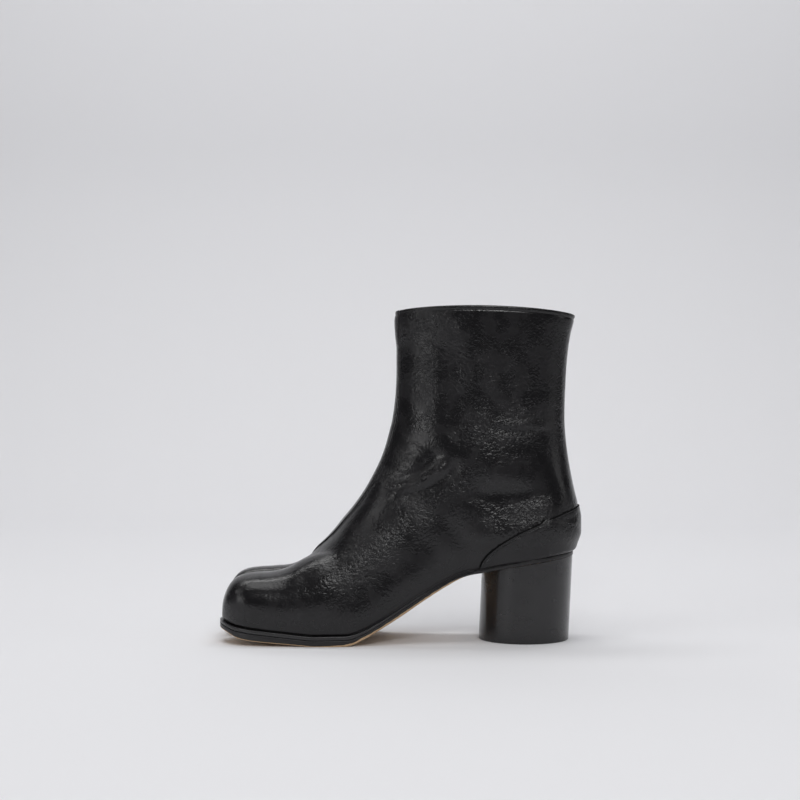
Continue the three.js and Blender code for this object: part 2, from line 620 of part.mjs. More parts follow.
// The rows as numbers, spaced by the mean distance between their end points
const placed = STATIONS.map((row) => {
  const [lowX, lowZ] = lowPoint(row);
  const [highX, highZ] = highPoint(row);
  const low = row.foot === undefined ? BACK_ROUNDNESS : FOOT_ROUNDNESS;
  const shaft = row.back === undefined ? 0 : 1;
  const plain = { shaft, outer: row.both, inner: row.both, low, arch: 0, steps: 1 };
  return { ...plain, ...row, lowX, lowZ, highX, highZ };
});
placed[0].u = 0;
for (let i = 1; i < placed.length; i++) {
  const [a, b] = [placed[i - 1], placed[i]];
  const low = Math.hypot(b.lowX - a.lowX, b.lowZ - a.lowZ);
  const high = Math.hypot(b.highX - a.highX, b.highZ - a.highZ);
  b.u = a.u + (low + high) / 2;
}
const stationColumn = {};
const stationNames = ["lowX", "lowZ", "highX", "highZ", "shaft", "outer", "inner", "wide"];
for (const name of [...stationNames, "low", "high", "arch"]) {
  stationColumn[name] = curve(
    placed.map((row) => row.u),
    placed.map((row) => row[name]),
  );
}
const cornerIndex = placed.findIndex((row) => row.corner);
const cornerU = placed[cornerIndex].u;
const collarU = placed[placed.length - 1].u;

// One slice: its two end points and, for each side, its widths and its share of the cleft
function sliceAt(u) {
  const at = (name) => stationColumn[name](u);
  const onFoot = u <= cornerU;
  const lowX = onFoot ? clamp(at("lowX"), upperTipX, upperHeelBackX) : at("lowX");
  const slice = {
    lowX,
    lowZ: onFoot ? featherZ(lowX) : at("lowZ"),
    highX: at("highX"),
    highZ: at("highZ"),
    wide: at("wide"),
    low: at("low"),
    high: at("high"),
    top: CLEFT_OFFSET * (1 - smooth((lowX - cleftRootX) / TOP_FADE)),
    arch: COLLAR_ARCH * at("arch"),
    ...cleftShares(lowX),
    side: {},
  };
  for (const side of ["outer", "inner"]) {
    const inset = upperInset(lowX);
    const foot = onFoot ? outerEdge(lowX, side, inset) : 0;
    const bare = lowX < heelCentreX ? foot : signOf(side) * (bareHalf(heelCentreX, side) - inset);
    const width = mix(bare, (signOf(side) * SHAFT_WIDTH) / 2, at("shaft"));
    const gap = innerEdge(Math.min(lowX, cleftRootX), side, upperInset(lowX));
    slice.side[side] = { foot, widest: width * at(side), gap };
  }
  return slice;
}

// Behind the root of the cleft, valley falls fast from 1 to 0 as its floor comes up, and lobes
// falls slowly as the broad top of the toes turns into the arch of the instep.
// sink lowers the inner lobe on the way to the root.
function cleftShares(x) {
  const behind = Math.max(x - cleftRootX, 0);
  return {
    valley: (1 - clamp(behind / CLEFT_RISE, 0, 1)) ** CLEFT_RISE_POWER,
    lobes: 1 - smooth(behind / LOBE_FADE),
    sink: INNER_SINK * smooth(1 + (x - cleftRootX) / CLEFT_RISE),
  };
}

// A point of a slice as [share of the height, Y], on the plain arch of the instep and shaft
function archPoint(slice, side, place) {
  const { foot, widest } = slice.side[side];
  if (place <= WIDEST) {
    const angle = (place / WIDEST) * (Math.PI / 2);
    const swell = (1 - Math.cos(angle) ** slice.low) ** (1 / slice.low);
    return [slice.wide * (1 - Math.cos(angle)), mix(foot, widest, swell)];
  }
  const angle = ((place - WIDEST) / (1 - WIDEST)) * (Math.PI / 2);
  const up = Math.sin(angle) ** (2 / slice.high);
  const out = Math.max(Math.cos(angle), 0) ** (2 / slice.high);
  return [mix(slice.wide, 1, up), mix(slice.top, widest, place === 1 ? 0 : out)];
}

// The same on a toe lobe: up the outside, over the crest and down the wall of the cleft
function lobePoint(slice, side, place) {
  const { foot, widest, gap } = slice.side[side];
  const crest = mix(gap, widest, CREST_PLACE[side]);
  const top = side === "inner" ? 1 - slice.sink : 1;
  if (place <= WIDEST) {
    const angle = (place / WIDEST) * (Math.PI / 2);
    const swell = (1 - Math.cos(angle) ** slice.low) ** (1 / slice.low);
    return [slice.wide * (1 - Math.cos(angle)), mix(foot, widest, swell)];
  }
  if (place <= LOBE_CREST) {
    const angle = ((place - WIDEST) / (LOBE_CREST - WIDEST)) * (Math.PI / 2);
    const up = Math.sin(angle) ** (2 / slice.high);
    const out = Math.max(Math.cos(angle), 0) ** (2 / slice.high);
    return [mix(slice.wide, top, up), mix(crest, widest, out)];
  }
  const past = (place - LOBE_CREST) / (1 - LOBE_CREST);
  const angle = past * (Math.PI / 2);
  const power = 2 / CLEFT_WALL_ROUNDNESS;
  const height = place === 1 ? 0 : Math.max(Math.cos(angle), 0) ** power;
  const arched = mix(top, 1, smooth(past));
  return [mix(arched, top * height, slice.valley), mix(crest, gap, Math.sin(angle) ** power)];
}

function surfacePoint(side, u, place) {
  const slice = sliceAt(clamp(u, 0, collarU));
  const arch = archPoint(slice, side, place);
  const lobe = lobePoint(slice, side, place);
  const h = mix(arch[0], lobe[0], slice.lobes);
  const y = mix(arch[1], lobe[1], slice.lobes);
  const lift = slice.arch * (4 * h * (1 - h)) ** 0.75;
  return new THREE.Vector3(
    mix(slice.lowX, slice.highX, h),
    y,
    mix(slice.lowZ, slice.highZ, h) + lift,
  );
}

// Outward normal, from two small steps over the surface
function surfaceNormal(side, u, place) {
  const du = 0.4;
  const dp = 0.006;
  const along = surfacePoint(side, Math.min(u + du, collarU), place).sub(
    surfacePoint(side, Math.max(u - du, 0.01), place),
  );
  const around = surfacePoint(side, u, Math.min(place + dp, 1)).sub(
    surfacePoint(side, u, Math.max(place - dp, 0)),
  );
  const normal = along.cross(around).multiplyScalar(-signOf(side));
  return normal.lengthSq() > 0 ? normal.normalize() : new THREE.Vector3(-1, 0, 0);
}

// Slices of the mesh: each row, the steps between rows, and close ones round the cleft's root
const meshU = [];
placed.slice(0, -1).forEach((row, i) => {
  const nextU = placed[i + 1].u;
  for (let k = 0; k < row.steps; k++) meshU.push(mix(row.u, nextU, k / row.steps));
});
meshU.push(collarU);
const uOfLowX = (x) => {
  let [a, b] = [0, cornerU];
  for (let pass = 0; pass < 50; pass++) {
    const middle = (a + b) / 2;
    if (sliceAt(middle).lowX < x) a = middle;
    else b = middle;
  }
  return (a + b) / 2;
};
const rootU = uOfLowX(cleftRootX);
const rootSlices = [rootU, ...ROOT_STEPS.map((step) => uOfLowX(cleftRootX + step))];
const crowded = (u) => rootSlices.some((v) => Math.abs(v - u) < ROOT_CLEARANCE);
const slices = meshU.filter((u, i) => i === 0 || !crowded(u));
slices.push(...rootSlices);
slices.sort((a, b) => a - b);
const rootJ = slices.indexOf(rootU);
const cornerJ = slices.findIndex((u) => Math.abs(u - cornerU) < 1e-6);
const lastJ = slices.length - 1;

// Where both halves share a point: the top behind the cleft, and the back over the seat
const lastI = AROUND.length - 1;
const shared = (j, i) => (j >= rootJ && i === lastI) || (j >= cornerJ && i === 0);
const onFeather = (j, i) => j === 0 || (i === 0 && j <= cornerJ) || (i === lastI && j <= rootJ);

// Points and normals on the mesh, worked out once for every skin
function gridNode(side, u, j, i) {
  const place = AROUND[i];
  const point = surfacePoint(side, u, place);
  const normal = j === 0 ? new THREE.Vector3(-1, 0, 0) : surfaceNormal(side, u, place);
  if (shared(j, i)) normal.add(surfaceNormal("inner", u, place)).setY(0).normalize();
  if (j === lastJ || onFeather(j, i)) normal.setZ(0).normalize();
  const seam = j >= rootJ && place > SEAM_EDGE ? 1 - sliceAt(u).valley : 0;
  return { point, normal, seam, onFeather: onFeather(j, i) };
}
const grid = {};
for (const side of ["outer", "inner"]) {
  grid[side] = slices.map((u, j) => {
    const nodes = AROUND.map((_, i) =>
      side === "inner" && shared(j, i) ? grid.outer[j][i] : gridNode(side, u, j, i),
    );
    return j === 0 ? nodes.map(() => nodes[0]) : nodes;
  });
}

// A skin of the upper's own shape between two distances from its surface, plus being outside.
// It is open at the collar and along the feather line. drop takes its lower rim further down.
function skin(outsideAt, insideAt, drop = 0) {
  const out = [];
  const n = lastI;
  const place = (side, j, i, distanceAt, lowered) => {
    const node = grid[side][j][i];
    const distance = distanceAt(node);
    const p = node.point.clone().addScaledVector(node.normal, distance);
    if (node.onFeather) p.z = featherZ(p.x) - lowered;
    return p.toArray();
  };
  for (const side of ["outer", "inner"]) {
    const face = (turn, a, b, c, d) => {
      if (turn === (side === "outer")) quad(out, a, d, c, b);
      else quad(out, a, b, c, d);
    };
    const at = (inside, j, i, lowered = 0) =>
      place(side, j, i, inside ? insideAt : outsideAt, lowered);
    for (const inside of [false, true]) {
      for (let j = 0; j < lastJ; j++) {
        for (let i = 0; i < n; i++) {
          const [a, b] = [at(inside, j, i), at(inside, j + 1, i)];
          face(inside, a, b, at(inside, j + 1, i + 1), at(inside, j, i + 1));
        }
      }
    }
    const rim = (j, i, turn) => {
      const low = (inside) => [at(inside, j, i, drop), at(inside, j + 1, i, drop)];
      for (const inside of drop > 0 ? [false, true] : []) {
        face(inside !== turn, ...low(inside), at(inside, j + 1, i), at(inside, j, i));
      }
      face(!turn, ...low(false), ...low(true).reverse());
    };
    for (let j = 0; j < cornerJ; j++) rim(j, 0, false);
    for (let j = 0; j < rootJ; j++) rim(j, n, true);
    for (let i = 0; i < n; i++) {
      const top = (inside, k) => at(inside, lastJ, k);
      face(true, top(false, i), top(false, i + 1), top(true, i + 1), top(true, i));
    }
  }
  return solidOf(geometryFrom(out));
}

// Counter seam, in side view: it climbs from the feather line to the back of the heel
const seamZ = (x) => {
  const share = (x - counterFrontX) / COUNTER_LENGTH;
  return featherZ(x) + COUNTER_HEIGHT * Math.max(share, 0) ** COUNTER_CURVE;
};
function counterOutline(grow) {
  const line = SEAM_SHARES.map((share) => {
    const x = counterFrontX + share * COUNTER_LENGTH;
    return [x, seamZ(x)];
  });
  const low = featherZ(counterFrontX) - COUNTER_HEIGHT;
  const closed = [[counterFrontX, low], ...line];
  const normalOf = (a, b) => new THREE.Vector2(a[1] - b[1], b[0] - a[0]).normalize();
  const grown = closed.map((point, k) => {
    const before = normalOf(closed[Math.max(k - 1, 0)], closed[Math.max(k, 1)]);
    const last = closed.length - 1;
    const after = normalOf(closed[Math.min(k, last - 1)], closed[Math.min(k + 1, last)]);
    const corner = before.clone().add(after);
    const reach = grow / (1 + before.dot(after));
    return [point[0] + corner.x * reach, point[1] + corner.y * reach];
  });
  const lastX = grown[grown.length - 1][0];
  return [...grown, [lastX, low]];
}
const acrossBoot = BALL_WIDTH;

// The wall is thicker behind the counter, which is let into it.
function innerDistance(node) {
  const { x, z } = node.point;
  const ahead = WALL_RAMP_SLOPE * Math.max(counterFrontX - x, 0);
  const under = (seamZ(x) - ahead + 0.75 * WALL_RAMP - z) / WALL_RAMP;
  return -WALL - COUNTER_THICKNESS * smooth(under);
}
const outerDistance = (node) => FRONT_SEAM_RIDGE * node.seam;

function makeUpper() {
  const shell = skin(outerDistance, innerDistance);
  const recess = skin(
    () => 3 * COUNTER_THICKNESS,
    () => -COUNTER_THICKNESS - GAP,
    COUNTER_THICKNESS,
  ).intersect(sidePrism(counterOutline(GAP), -acrossBoot, acrossBoot));
  return shell.subtract(recess);
}

function makeCounter() {
  const panel = skin(
    () => 0,
    () => -COUNTER_THICKNESS,
  );
  return panel.intersect(sidePrism(counterOutline(0), -acrossBoot, acrossBoot));
}

// Overlap of the closing, on the inner side of the shaft
const collarBackX = placed[placed.length - 1].lowX;
const placketBackX = collarBackX - PLACKET_SETBACK;
const placketMiddleX = placketBackX - PLACKET_WIDTH / 2;

function makePlacket() {
  const low = COLLAR_HEIGHT - PLACKET_LENGTH;
  const frontX = placketBackX - PLACKET_WIDTH;
  const turns = Array.from({ length: 9 }, (_, k) => (Math.PI * k) / 8);
  const foot = turns.map((a) => [
    placketMiddleX - (Math.cos(a) * PLACKET_WIDTH) / 2,
    low + (PLACKET_WIDTH / 2) * (1 - Math.sin(a)),
  ]);
  const over = COLLAR_HEIGHT + COLLAR_ARCH;
  const points = [[frontX, over], ...foot, [placketBackX, over]];
  const strip = skin(
    () => GAP + PLACKET_THICKNESS,
    () => GAP,
  );
  return strip.intersect(sidePrism(points, SHAFT_WIDTH / 8, acrossBoot));
}

// Place and outward direction of a clasp on the placket, from its height and X
function claspSeat(x, z) {
  const climb = 0.7; // each pass covers about this part of what is left
  const slide = climb * (WIDEST / (ANKLE_DEPTH / 2));
  let u = collarU;
  let place = WIDEST / 2;
  for (let pass = 0; pass < 60; pass++) {
    const p = surfacePoint("inner", u, place);
    u = clamp(u + (z - p.z) * climb, cornerU, collarU);
    place = clamp(place + (p.x - x) * slide, 0, WIDEST);
  }
  return facetAt("inner", u, place);
}

// Point and outward direction on the flat facet of the mesh that holds a place
function facetAt(side, u, place) {
  const j = clamp(slices.findIndex((v) => v > u) - 1, 0, lastJ - 1);
  const i = clamp(AROUND.findIndex((v) => v > place) - 1, 0, lastI - 1);
  const along = (u - slices[j]) / (slices[j + 1] - slices[j]);
  const round = (place - AROUND[i]) / (AROUND[i + 1] - AROUND[i]);
  const [a, b] = [grid[side][j][i].point, grid[side][j][i + 1].point];
  const [c, d] = [grid[side][j + 1][i].point, grid[side][j + 1][i + 1].point];
  const point = a.clone().lerp(b, round).lerp(c.clone().lerp(d, round), along);
  const normal = d.clone().sub(a).cross(b.clone().sub(c)).multiplyScalar(-signOf(side));
  return { point, normal: normal.normalize() };
}

function claspGeometry() {
  const shape = new THREE.Shape();
  const half = CLASP_HEIGHT / 2;
  const nose = CLASP_LENGTH - half;
  shape.moveTo(0, -half);
  shape.lineTo(nose, -half);
  shape.absarc(nose, 0, half, -Math.PI / 2, Math.PI / 2, false);
  shape.lineTo(0, half);
  shape.closePath();
  const options = { depth: CLASP_THICKNESS, bevelEnabled: false, curveSegments: 8 };
  return new THREE.ExtrudeGeometry(shape, options);
}

function makeClasp(k) {
  const z = COLLAR_HEIGHT - CLASP_FIRST - k * CLASP_PITCH;
  const seat = claspSeat(placketBackX - CLASP_LENGTH / 2 - CLASP_MARGIN, z);
  const forward = new THREE.Vector3(-1, 0, 0);
  forward.addScaledVector(seat.normal, -forward.dot(seat.normal)).normalize();
  const up = new THREE.Vector3().crossVectors(seat.normal, forward);
  const standOff = PLACKET_THICKNESS + 2 * GAP;
  const base = seat.point.clone().addScaledVector(seat.normal, standOff);
  base.addScaledVector(forward, -CLASP_LENGTH / 2);
  const turn = new THREE.Matrix4().makeBasis(forward, up, seat.normal).setPosition(base);
  return solidOf(claspGeometry().applyMatrix4(turn));
}
const UPPER_LEATHER = { color: 0x1d1c1e, roughness: 0.36, metalness: 0 };
addPiece("outsole", makeOutsole(), { color: 0xa58c69, roughness: 0.55, metalness: 0 });
addPiece("welt", makeWelt(), BLACK_EDGE);
addPiece("insole", makeInsole(), { color: 0x2a2725, roughness: 0.7, metalness: 0 });
addPiece("upper", makeUpper(), UPPER_LEATHER);
addPiece("heel_counter", makeCounter(), UPPER_LEATHER);
addPiece("heel_block", makeHeelBlock(), { color: 0x1a191b, roughness: 0.3, metalness: 0 });
addPiece("placket", makePlacket(), UPPER_LEATHER);
for (let k = 0; k < CLASP_COUNT; k++) {
  addPiece("clasp_" + (k + 1), makeClasp(k), { color: 0xb9b6ae, roughness: 0.3, metalness: 1 });
}

export default boot;
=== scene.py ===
import math

import bpy
import numpy as np
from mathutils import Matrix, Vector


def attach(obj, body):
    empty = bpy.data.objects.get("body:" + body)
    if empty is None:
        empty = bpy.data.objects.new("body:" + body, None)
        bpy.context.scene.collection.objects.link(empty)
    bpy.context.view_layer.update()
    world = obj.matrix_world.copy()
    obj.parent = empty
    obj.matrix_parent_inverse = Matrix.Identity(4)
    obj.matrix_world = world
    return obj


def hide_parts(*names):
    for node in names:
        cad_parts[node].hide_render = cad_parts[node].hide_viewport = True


# Split-toe leather ankle boot on a round block heel. Toes to -X, inner side of the foot to +Y.
# Shapes are worked out in millimetres, and add_piece turns them into metres.
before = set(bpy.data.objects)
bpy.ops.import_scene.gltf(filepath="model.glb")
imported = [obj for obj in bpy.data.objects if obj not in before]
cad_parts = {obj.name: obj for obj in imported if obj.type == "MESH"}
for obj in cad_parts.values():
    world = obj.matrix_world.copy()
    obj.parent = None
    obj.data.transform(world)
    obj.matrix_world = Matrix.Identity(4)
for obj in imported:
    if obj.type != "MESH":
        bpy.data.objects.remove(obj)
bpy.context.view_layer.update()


# Camera and studio
# A long lens stands level with the shaft, square to the outer side of the boot. The boot is on
# a pale sweep of paper, under a wide soft light, with narrower ones from the front and both ends.

CAMERA_PLACE = (-0.00035, -1.3154, 0.1966)
CAMERA_DIP = 1.322  # degrees below level
LENS = 85

camera_data = bpy.data.cameras.new("camera")
camera_data.lens = LENS
camera_data.clip_start, camera_data.clip_end = 0.05, 20
camera = bpy.data.objects.new("camera", camera_data)
camera.location = CAMERA_PLACE
camera.rotation_euler = (math.radians(90 - CAMERA_DIP), 0, 0)
bpy.context.scene.collection.objects.link(camera)
bpy.context.scene.camera = camera
bpy.context.scene.view_settings.view_transform = "Standard"


def new_material(name, **values):
    """A material whose shader has these values, with the sockets' names in lower case."""
    material = bpy.data.materials.new(name)
    material.use_nodes = True
    shader = material.node_tree.nodes["Principled BSDF"]
    sockets = {socket.name.lower().replace(" ", "_"): socket for socket in shader.inputs}
    for key, value in values.items():
        sockets[key].default_value = value
    return material


def squares(ids, turned=False):
    """The square between each four neighbours of a grid of numbers, wound the other way if turned."""
    four = [ids[:-1, :-1], ids[1:, :-1], ids[1:, 1:], ids[:-1, 1:]]
    faces = np.stack(four, axis=-1).reshape(-1, 4)
    return faces[:, ::-1] if turned else faces


def add_piece(name, points, faces, materials, face_materials=None, sharp=35, values=None):
    """A smooth-shaded mesh object. Points that coincide are joined, squares that have lost a
    corner become triangles, and edges sharper than the given angle stay crisp."""
    places = np.round(points / 0.002).astype(np.int64)
    _, first, number = np.unique(places, axis=0, return_index=True, return_inverse=True)
    faces = number.reshape(-1)[faces]
    alike = faces == np.roll(faces, -1, axis=1)
    lost = alike.sum(axis=1)
    whole = faces[lost == 0]
    narrowed = faces[lost == 1]
    kept = narrowed[~alike[lost == 1]].reshape(-1, 3)
    mesh = bpy.data.meshes.new(name)
    mesh.from_pydata((points[first] / 1000).tolist(), [], whole.tolist() + kept.tolist())
    for material in materials:
        mesh.materials.append(material)
    if face_materials is not None:
        order = np.concatenate([face_materials[lost == 0], face_materials[lost == 1]])
        mesh.polygons.foreach_set("material_index", order.astype(np.int32))
    for key, value in (values or {}).items():
        attribute = mesh.attributes.new(key, "FLOAT", "POINT")
        attribute.data.foreach_set("value", value[first].astype(np.float32))
    mesh.polygons.foreach_set("use_smooth", np.ones(len(mesh.polygons), bool))
    mesh.set_sharp_from_angle(angle=math.radians(sharp))
    mesh.update()
    piece = bpy.data.objects.new(name, mesh)
    bpy.context.scene.collection.objects.link(piece)
    return piece


SWEEP_HALF_WIDTH = 2200
SWEEP_FRONT, SWEEP_BACK = -1000, 900
SWEEP_CURVE, SWEEP_HEIGHT = 500, 2400

paper = new_material("paper", base_color=(0.78, 0.78, 0.8, 1), roughness=0.9)
turn = np.linspace(0, math.pi / 2, 24)
sweep_y = np.concatenate([[SWEEP_FRONT], SWEEP_BACK + SWEEP_CURVE * np.sin(turn)])
sweep_z = np.concatenate([[0], SWEEP_CURVE * (1 - np.cos(turn))])
sweep_y, sweep_z = np.append(sweep_y, sweep_y[-1]), np.append(sweep_z, SWEEP_HEIGHT)
sweep_x = np.linspace(-SWEEP_HALF_WIDTH, SWEEP_HALF_WIDTH, 2)
across, along = np.meshgrid(sweep_x, np.arange(len(sweep_y)))
sweep_points = np.stack([across, sweep_y[along], sweep_z[along]], axis=-1).reshape(-1, 3)
sweep_ids = np.arange(len(sweep_points)).reshape(across.shape)
sweep = add_piece("sweep", sweep_points, squares(sweep_ids, turned=True), [paper])


def soft_light(name, place, aim, size, watts):
    """A rectangular light at a place, turned to face a point, with sizes in metres."""
    data = bpy.data.lights.new(name, "AREA")
    data.shape = "RECTANGLE"
    data.size, data.size_y = size
    data.energy = watts
    light = bpy.data.objects.new(name, data)
    forward = np.array(aim, float) - np.array(place, float)
    light.location = place
    light.rotation_euler = Vector(forward).to_track_quat("-Z", "Y").to_euler()
    bpy.context.scene.collection.objects.link(light)


# name, place, aim, width and height, watts
soft_light("overhead", (0, -0.35, 1.5), (0, 0, 0.05), (1.1, 0.7), 6.5)
soft_light("front", (0.2, -1.35, 1.05), (0, 0, 0.1), (0.8, 0.3), 8)
soft_light("high_left", (-1.15, -0.5, 1.0), (0, 0, 0.08), (0.6, 0.5), 1.4)
soft_light("toe_side", (-1.1, -1.0, 0.36), (0, 0, 0.12), (0.35, 0.45), 2.2)
soft_light("heel_side", (1.5, -0.3, 0.6), (0, 0, 0.12), (0.5, 0.9), 1.2)
soft_light("paper_wash", (0, 0.5, 2.2), (0, 1.5, 0.7), (2.4, 0.6), 28)

world = bpy.data.worlds.new("studio")
world.use_nodes = True
world.node_tree.nodes["Background"].inputs["Color"].default_value = (0.62, 0.63, 0.66, 1)
world.node_tree.nodes["Background"].inputs["Strength"].default_value = 0.1
bpy.context.scene.world = world


# Sole
# One piece of natural leather, split at the toe. Its edge is inked black, its lower corner is
# pared to a slope at the waist, where the leather's own colour shows, and it thins at the heel.

SHOE_LENGTH, BALL_WIDTH = 249, 86
HEEL_HEIGHT, HEEL_DIAMETER, TOE_SPRING = 59.2, 62.5, 10.6
CLEFT_LENGTH, CLEFT_OFFSET, CLEFT_SLIT, CLEFT_FLARE = 54, 4.6, 2, 1.4
EDGE_STEP = 1.6  # how far the sole stands out round the forefoot
SOLE_EDGE = 7.4  # welt and sole together at the ball
WELT_THICKNESS, WELT_WIDTH, WELT_END = 2.5, 8, 0.7
SEAT_MARGIN = 0.35  # how far the seat stands out over the heel
GAP = 0.3  # between pieces that are glued


def table(names, rows):
    """The named columns of rows of numbers, as arrays."""
    return dict(zip(names.split(), np.array(rows, float).T))


def through(at, value, place):
    """A smooth curve through values: cubic pieces whose slope at each one is the mean of the
    slopes beside it, weighted by distance, or level at a turning point."""
    run = np.diff(at)
    secant = np.diff(value) / run
    mean = (secant[:-1] * run[1:] + secant[1:] * run[:-1]) / (run[:-1] + run[1:])
    slope = np.concatenate([[secant[0]], np.where(secant[:-1] * secant[1:] > 0, mean, 0), [secant[-1]]])
    i = np.clip(np.searchsorted(at, place) - 1, 0, len(at) - 2)
    d = run[i]
    t = np.clip((place - at[i]) / d, 0, 1)
    start = (2 * t**3 - 3 * t**2 + 1) * value[i] + (t**3 - 2 * t**2 + t) * d * slope[i]
    return start + (3 * t**2 - 2 * t**3) * value[i + 1] + (t**3 - t**2) * d * slope[i + 1]


def mix(a, b, t):
    return a + (b - a) * t


def smooth(t):
    """0 to 1 with level ends, as t goes from 0 to 1."""
    c = np.clip(t, 0, 1)
    return c * c * (3 - 2 * c)


# Underside and thickness: spring is a share of the toe spring, rise of the heel height, edge of
# the sole edge at the ball, and welt of the welt's thickness.
PROFILE = table(
    "at spring rise edge welt",
    [
        (0.0, 1.0, 0, 0.8, 0.85),
        (0.012, 0.9, 0, 0.82, 0.9),
        (0.026, 0.76, 0, 0.86, 0.95),
        (0.046, 0.54, 0, 0.98, 1),
        (0.074, 0.39, 0, 1.06, 1),
        (0.12, 0.27, 0, 1.05, 1),
        (0.18, 0.165, 0, 0.99, 1),
        (0.228, 0.07, 0, 0.95, 1),
        (0.262, 0, 0, 0.96, 1),
        (0.35, 0, 0, 0.99, 1),
        (0.375, 0, 0.026, 0.93, 0.95),
        (0.396, 0, 0.066, 0.87, 0.85),
        (0.444, 0, 0.177, 0.81, 0.7),
        (0.5, 0, 0.318, 0.83, 0.62),
        (0.568, 0, 0.504, 0.76, 0.55),
        (0.62, 0, 0.641, 0.66, 0.5),
        (0.676, 0, 0.768, 0.48, 0.4),
        (0.73, 0, 0.821, 0.4, 0.3),
        (0.791, 0, 0.876, 0.39, 0.3),
        (0.863, 0, 0.931, 0.39, 0.3),
        (0.939, 0, 0.98, 0.39, 0.3),
        (1.0, 0, 1.008, 0.39, 0.3),
    ],
)
HEEL_RADIUS = HEEL_DIAMETER / 2
HEEL_BACK = 0.9815  # back of the block's top, as a share of the length
HEEL_CENTRE = (HEEL_BACK - 0.5) * SHOE_LENGTH - HEEL_RADIUS
SEAT_SHARE = (HEEL_RADIUS + SEAT_MARGIN) / HEEL_RADIUS

# Outline from above: heel moves the measure from half the ball width to half the heel, outer and
# inner are shares of it, step is a share of the edge step, bevel and lift of the sole edge.
OUTLINE = table(
    "at heel outer inner step bevel lift",
    [
        (0.0, 0, 0.8, 0.79, 1, 0.12, 0.12),
        (0.06, 0, 0.888, 0.88, 1, 0.12, 0.12),
        (0.13, 0, 0.953, 0.948, 1, 0.12, 0.12),
        (0.2, 0, 0.985, 0.992, 1, 0.12, 0.12),
        (0.25, 0, 0.997, 1, 1, 0.12, 0.12),
        (0.29, 0, 1, 0.993, 1, 0.12, 0.12),
        (0.345, 0.03, 0.992, 0.958, 0.98, 0.18, 0.15),
        (0.41, 0.12, 0.955, 0.885, 0.85, 0.35, 0.22),
        (0.48, 0.3, 0.888, 0.782, 0.4, 0.5, 0.3),
        (0.56, 0.5, 0.796, 0.665, -0.6, 0.5, 0.3),
        (0.64, 0.7, 0.748, 0.628, -1.4, 0.4, 0.22),
        (0.71, 0.85, 0.805, 0.725, -1.3, 0.2, 0.12),
        (0.77, 1, 0.925, 0.89, -0.9, 0.08, 0.06),
        (HEEL_CENTRE / SHOE_LENGTH + 0.5, 1, SEAT_SHARE, SEAT_SHARE, -0.45, 0.06, 0.06),
        (1.0, 1, SEAT_SHARE, SEAT_SHARE, -0.45, 0.06, 0.06),
    ],
)
TOE_X = -SHOE_LENGTH / 2
ROOT_X = TOE_X + EDGE_STEP + CLEFT_LENGTH
SLIT_END = ROOT_X - EDGE_STEP
SIDES = {"outer": -1, "inner": 1}
LOBE_ROUNDNESS = 2.25
TIP_PLACE = {"outer": 0.42, "inner": 0.5}
OUTER_ROUNDING = {"outer": 24, "inner": 19}
INNER_ROUNDING = 11


def profile(name, x):
    return through(PROFILE["at"], PROFILE[name], x / SHOE_LENGTH + 0.5)


def outline(name, x):
    return through(OUTLINE["at"], OUTLINE[name], np.minimum(x, HEEL_CENTRE) / SHOE_LENGTH + 0.5)


def underside(x):
    return TOE_SPRING * profile("spring", x) + HEEL_HEIGHT * profile("rise", x)


def feather(x):
    """Height of the line where upper and sole meet."""
    return underside(x) + SOLE_EDGE * profile("edge", x)


def welt_bottom(x):
    return feather(x) - GAP - WELT_THICKNESS * profile("welt", x)


def edge_step(x):
    return EDGE_STEP * outline("step", x)


def bare_half(x, side):
    """Half-width of the sole on one side, before its ends are rounded."""
    return outline(side, x) * mix(BALL_WIDTH / 2, HEEL_RADIUS, outline("heel", x))


def cleft_edge(x, side, inset):
    """Side of the cleft as signed Y: a slot that flares forwards and ends in a half round."""
    end = SLIT_END + inset
    half = CLEFT_SLIT / 2 + inset + CLEFT_FLARE * np.clip((end - x) / CLEFT_LENGTH, 0, 1)
    into = np.clip((x - (end - half)) / half, 0, 1)
    return CLEFT_OFFSET + SIDES[side] * half * np.sqrt(1 - into**2)


def tip_y(side):
    """Y of a lobe's foremost point."""
    x = np.array(TOE_X + OUTER_ROUNDING[side], float)
    inside = CLEFT_OFFSET + SIDES[side] * CLEFT_SLIT / 2
    return float(mix(inside, SIDES[side] * bare_half(x, side), TIP_PLACE[side]))


TIP_Y = {side: tip_y(side) for side in SIDES}


def rounded(x, length, inset):
    """0 at the tip to 1 where a lobe has its full width, along a superellipse."""
    into = 1 - np.clip((x - TOE_X - inset) / length, 0, 1)
    return (1 - into**LOBE_ROUNDNESS) ** (1 / LOBE_ROUNDNESS)


def outer_edge(x, side, inset):
    """The sole's outline on one side at an inset, as signed Y, with the round heel at the end."""
    bare = SIDES[side] * (bare_half(x, side) - inset)
    into = np.clip((x - HEEL_CENTRE) / np.abs(bare), 0, 1)
    front = mix(TIP_Y[side], bare, rounded(x, OUTER_ROUNDING[side], inset))
    return np.where(x > HEEL_CENTRE, bare * np.sqrt(1 - into**2), front)


def inner_edge(x, side, inset):
    return mix(TIP_Y[side], cleft_edge(x, side, inset), rounded(x, INNER_ROUNDING, inset))


TAN = (0.62, 0.43, 0.25, 1)
INK = (0.010, 0.009, 0.010, 1)


def new_node(material, kind, inputs=None, **settings):
    """A shader node with its settings, and its inputs set to values or joined to sockets."""
    made = material.node_tree.nodes.new("ShaderNode" + kind)
    for key, value in settings.items():
        setattr(made, key, value)
    for key, value in (inputs or {}).items():
        if isinstance(value, bpy.types.NodeSocket):
            material.node_tree.links.new(value, made.inputs[key])
        else:
            made.inputs[key].default_value = value
    return made


def join(material, socket, name):
    """Joins an output to an input of the material's shader."""
    shader = material.node_tree.nodes["Principled BSDF"]
    material.node_tree.links.new(socket, shader.inputs[name])


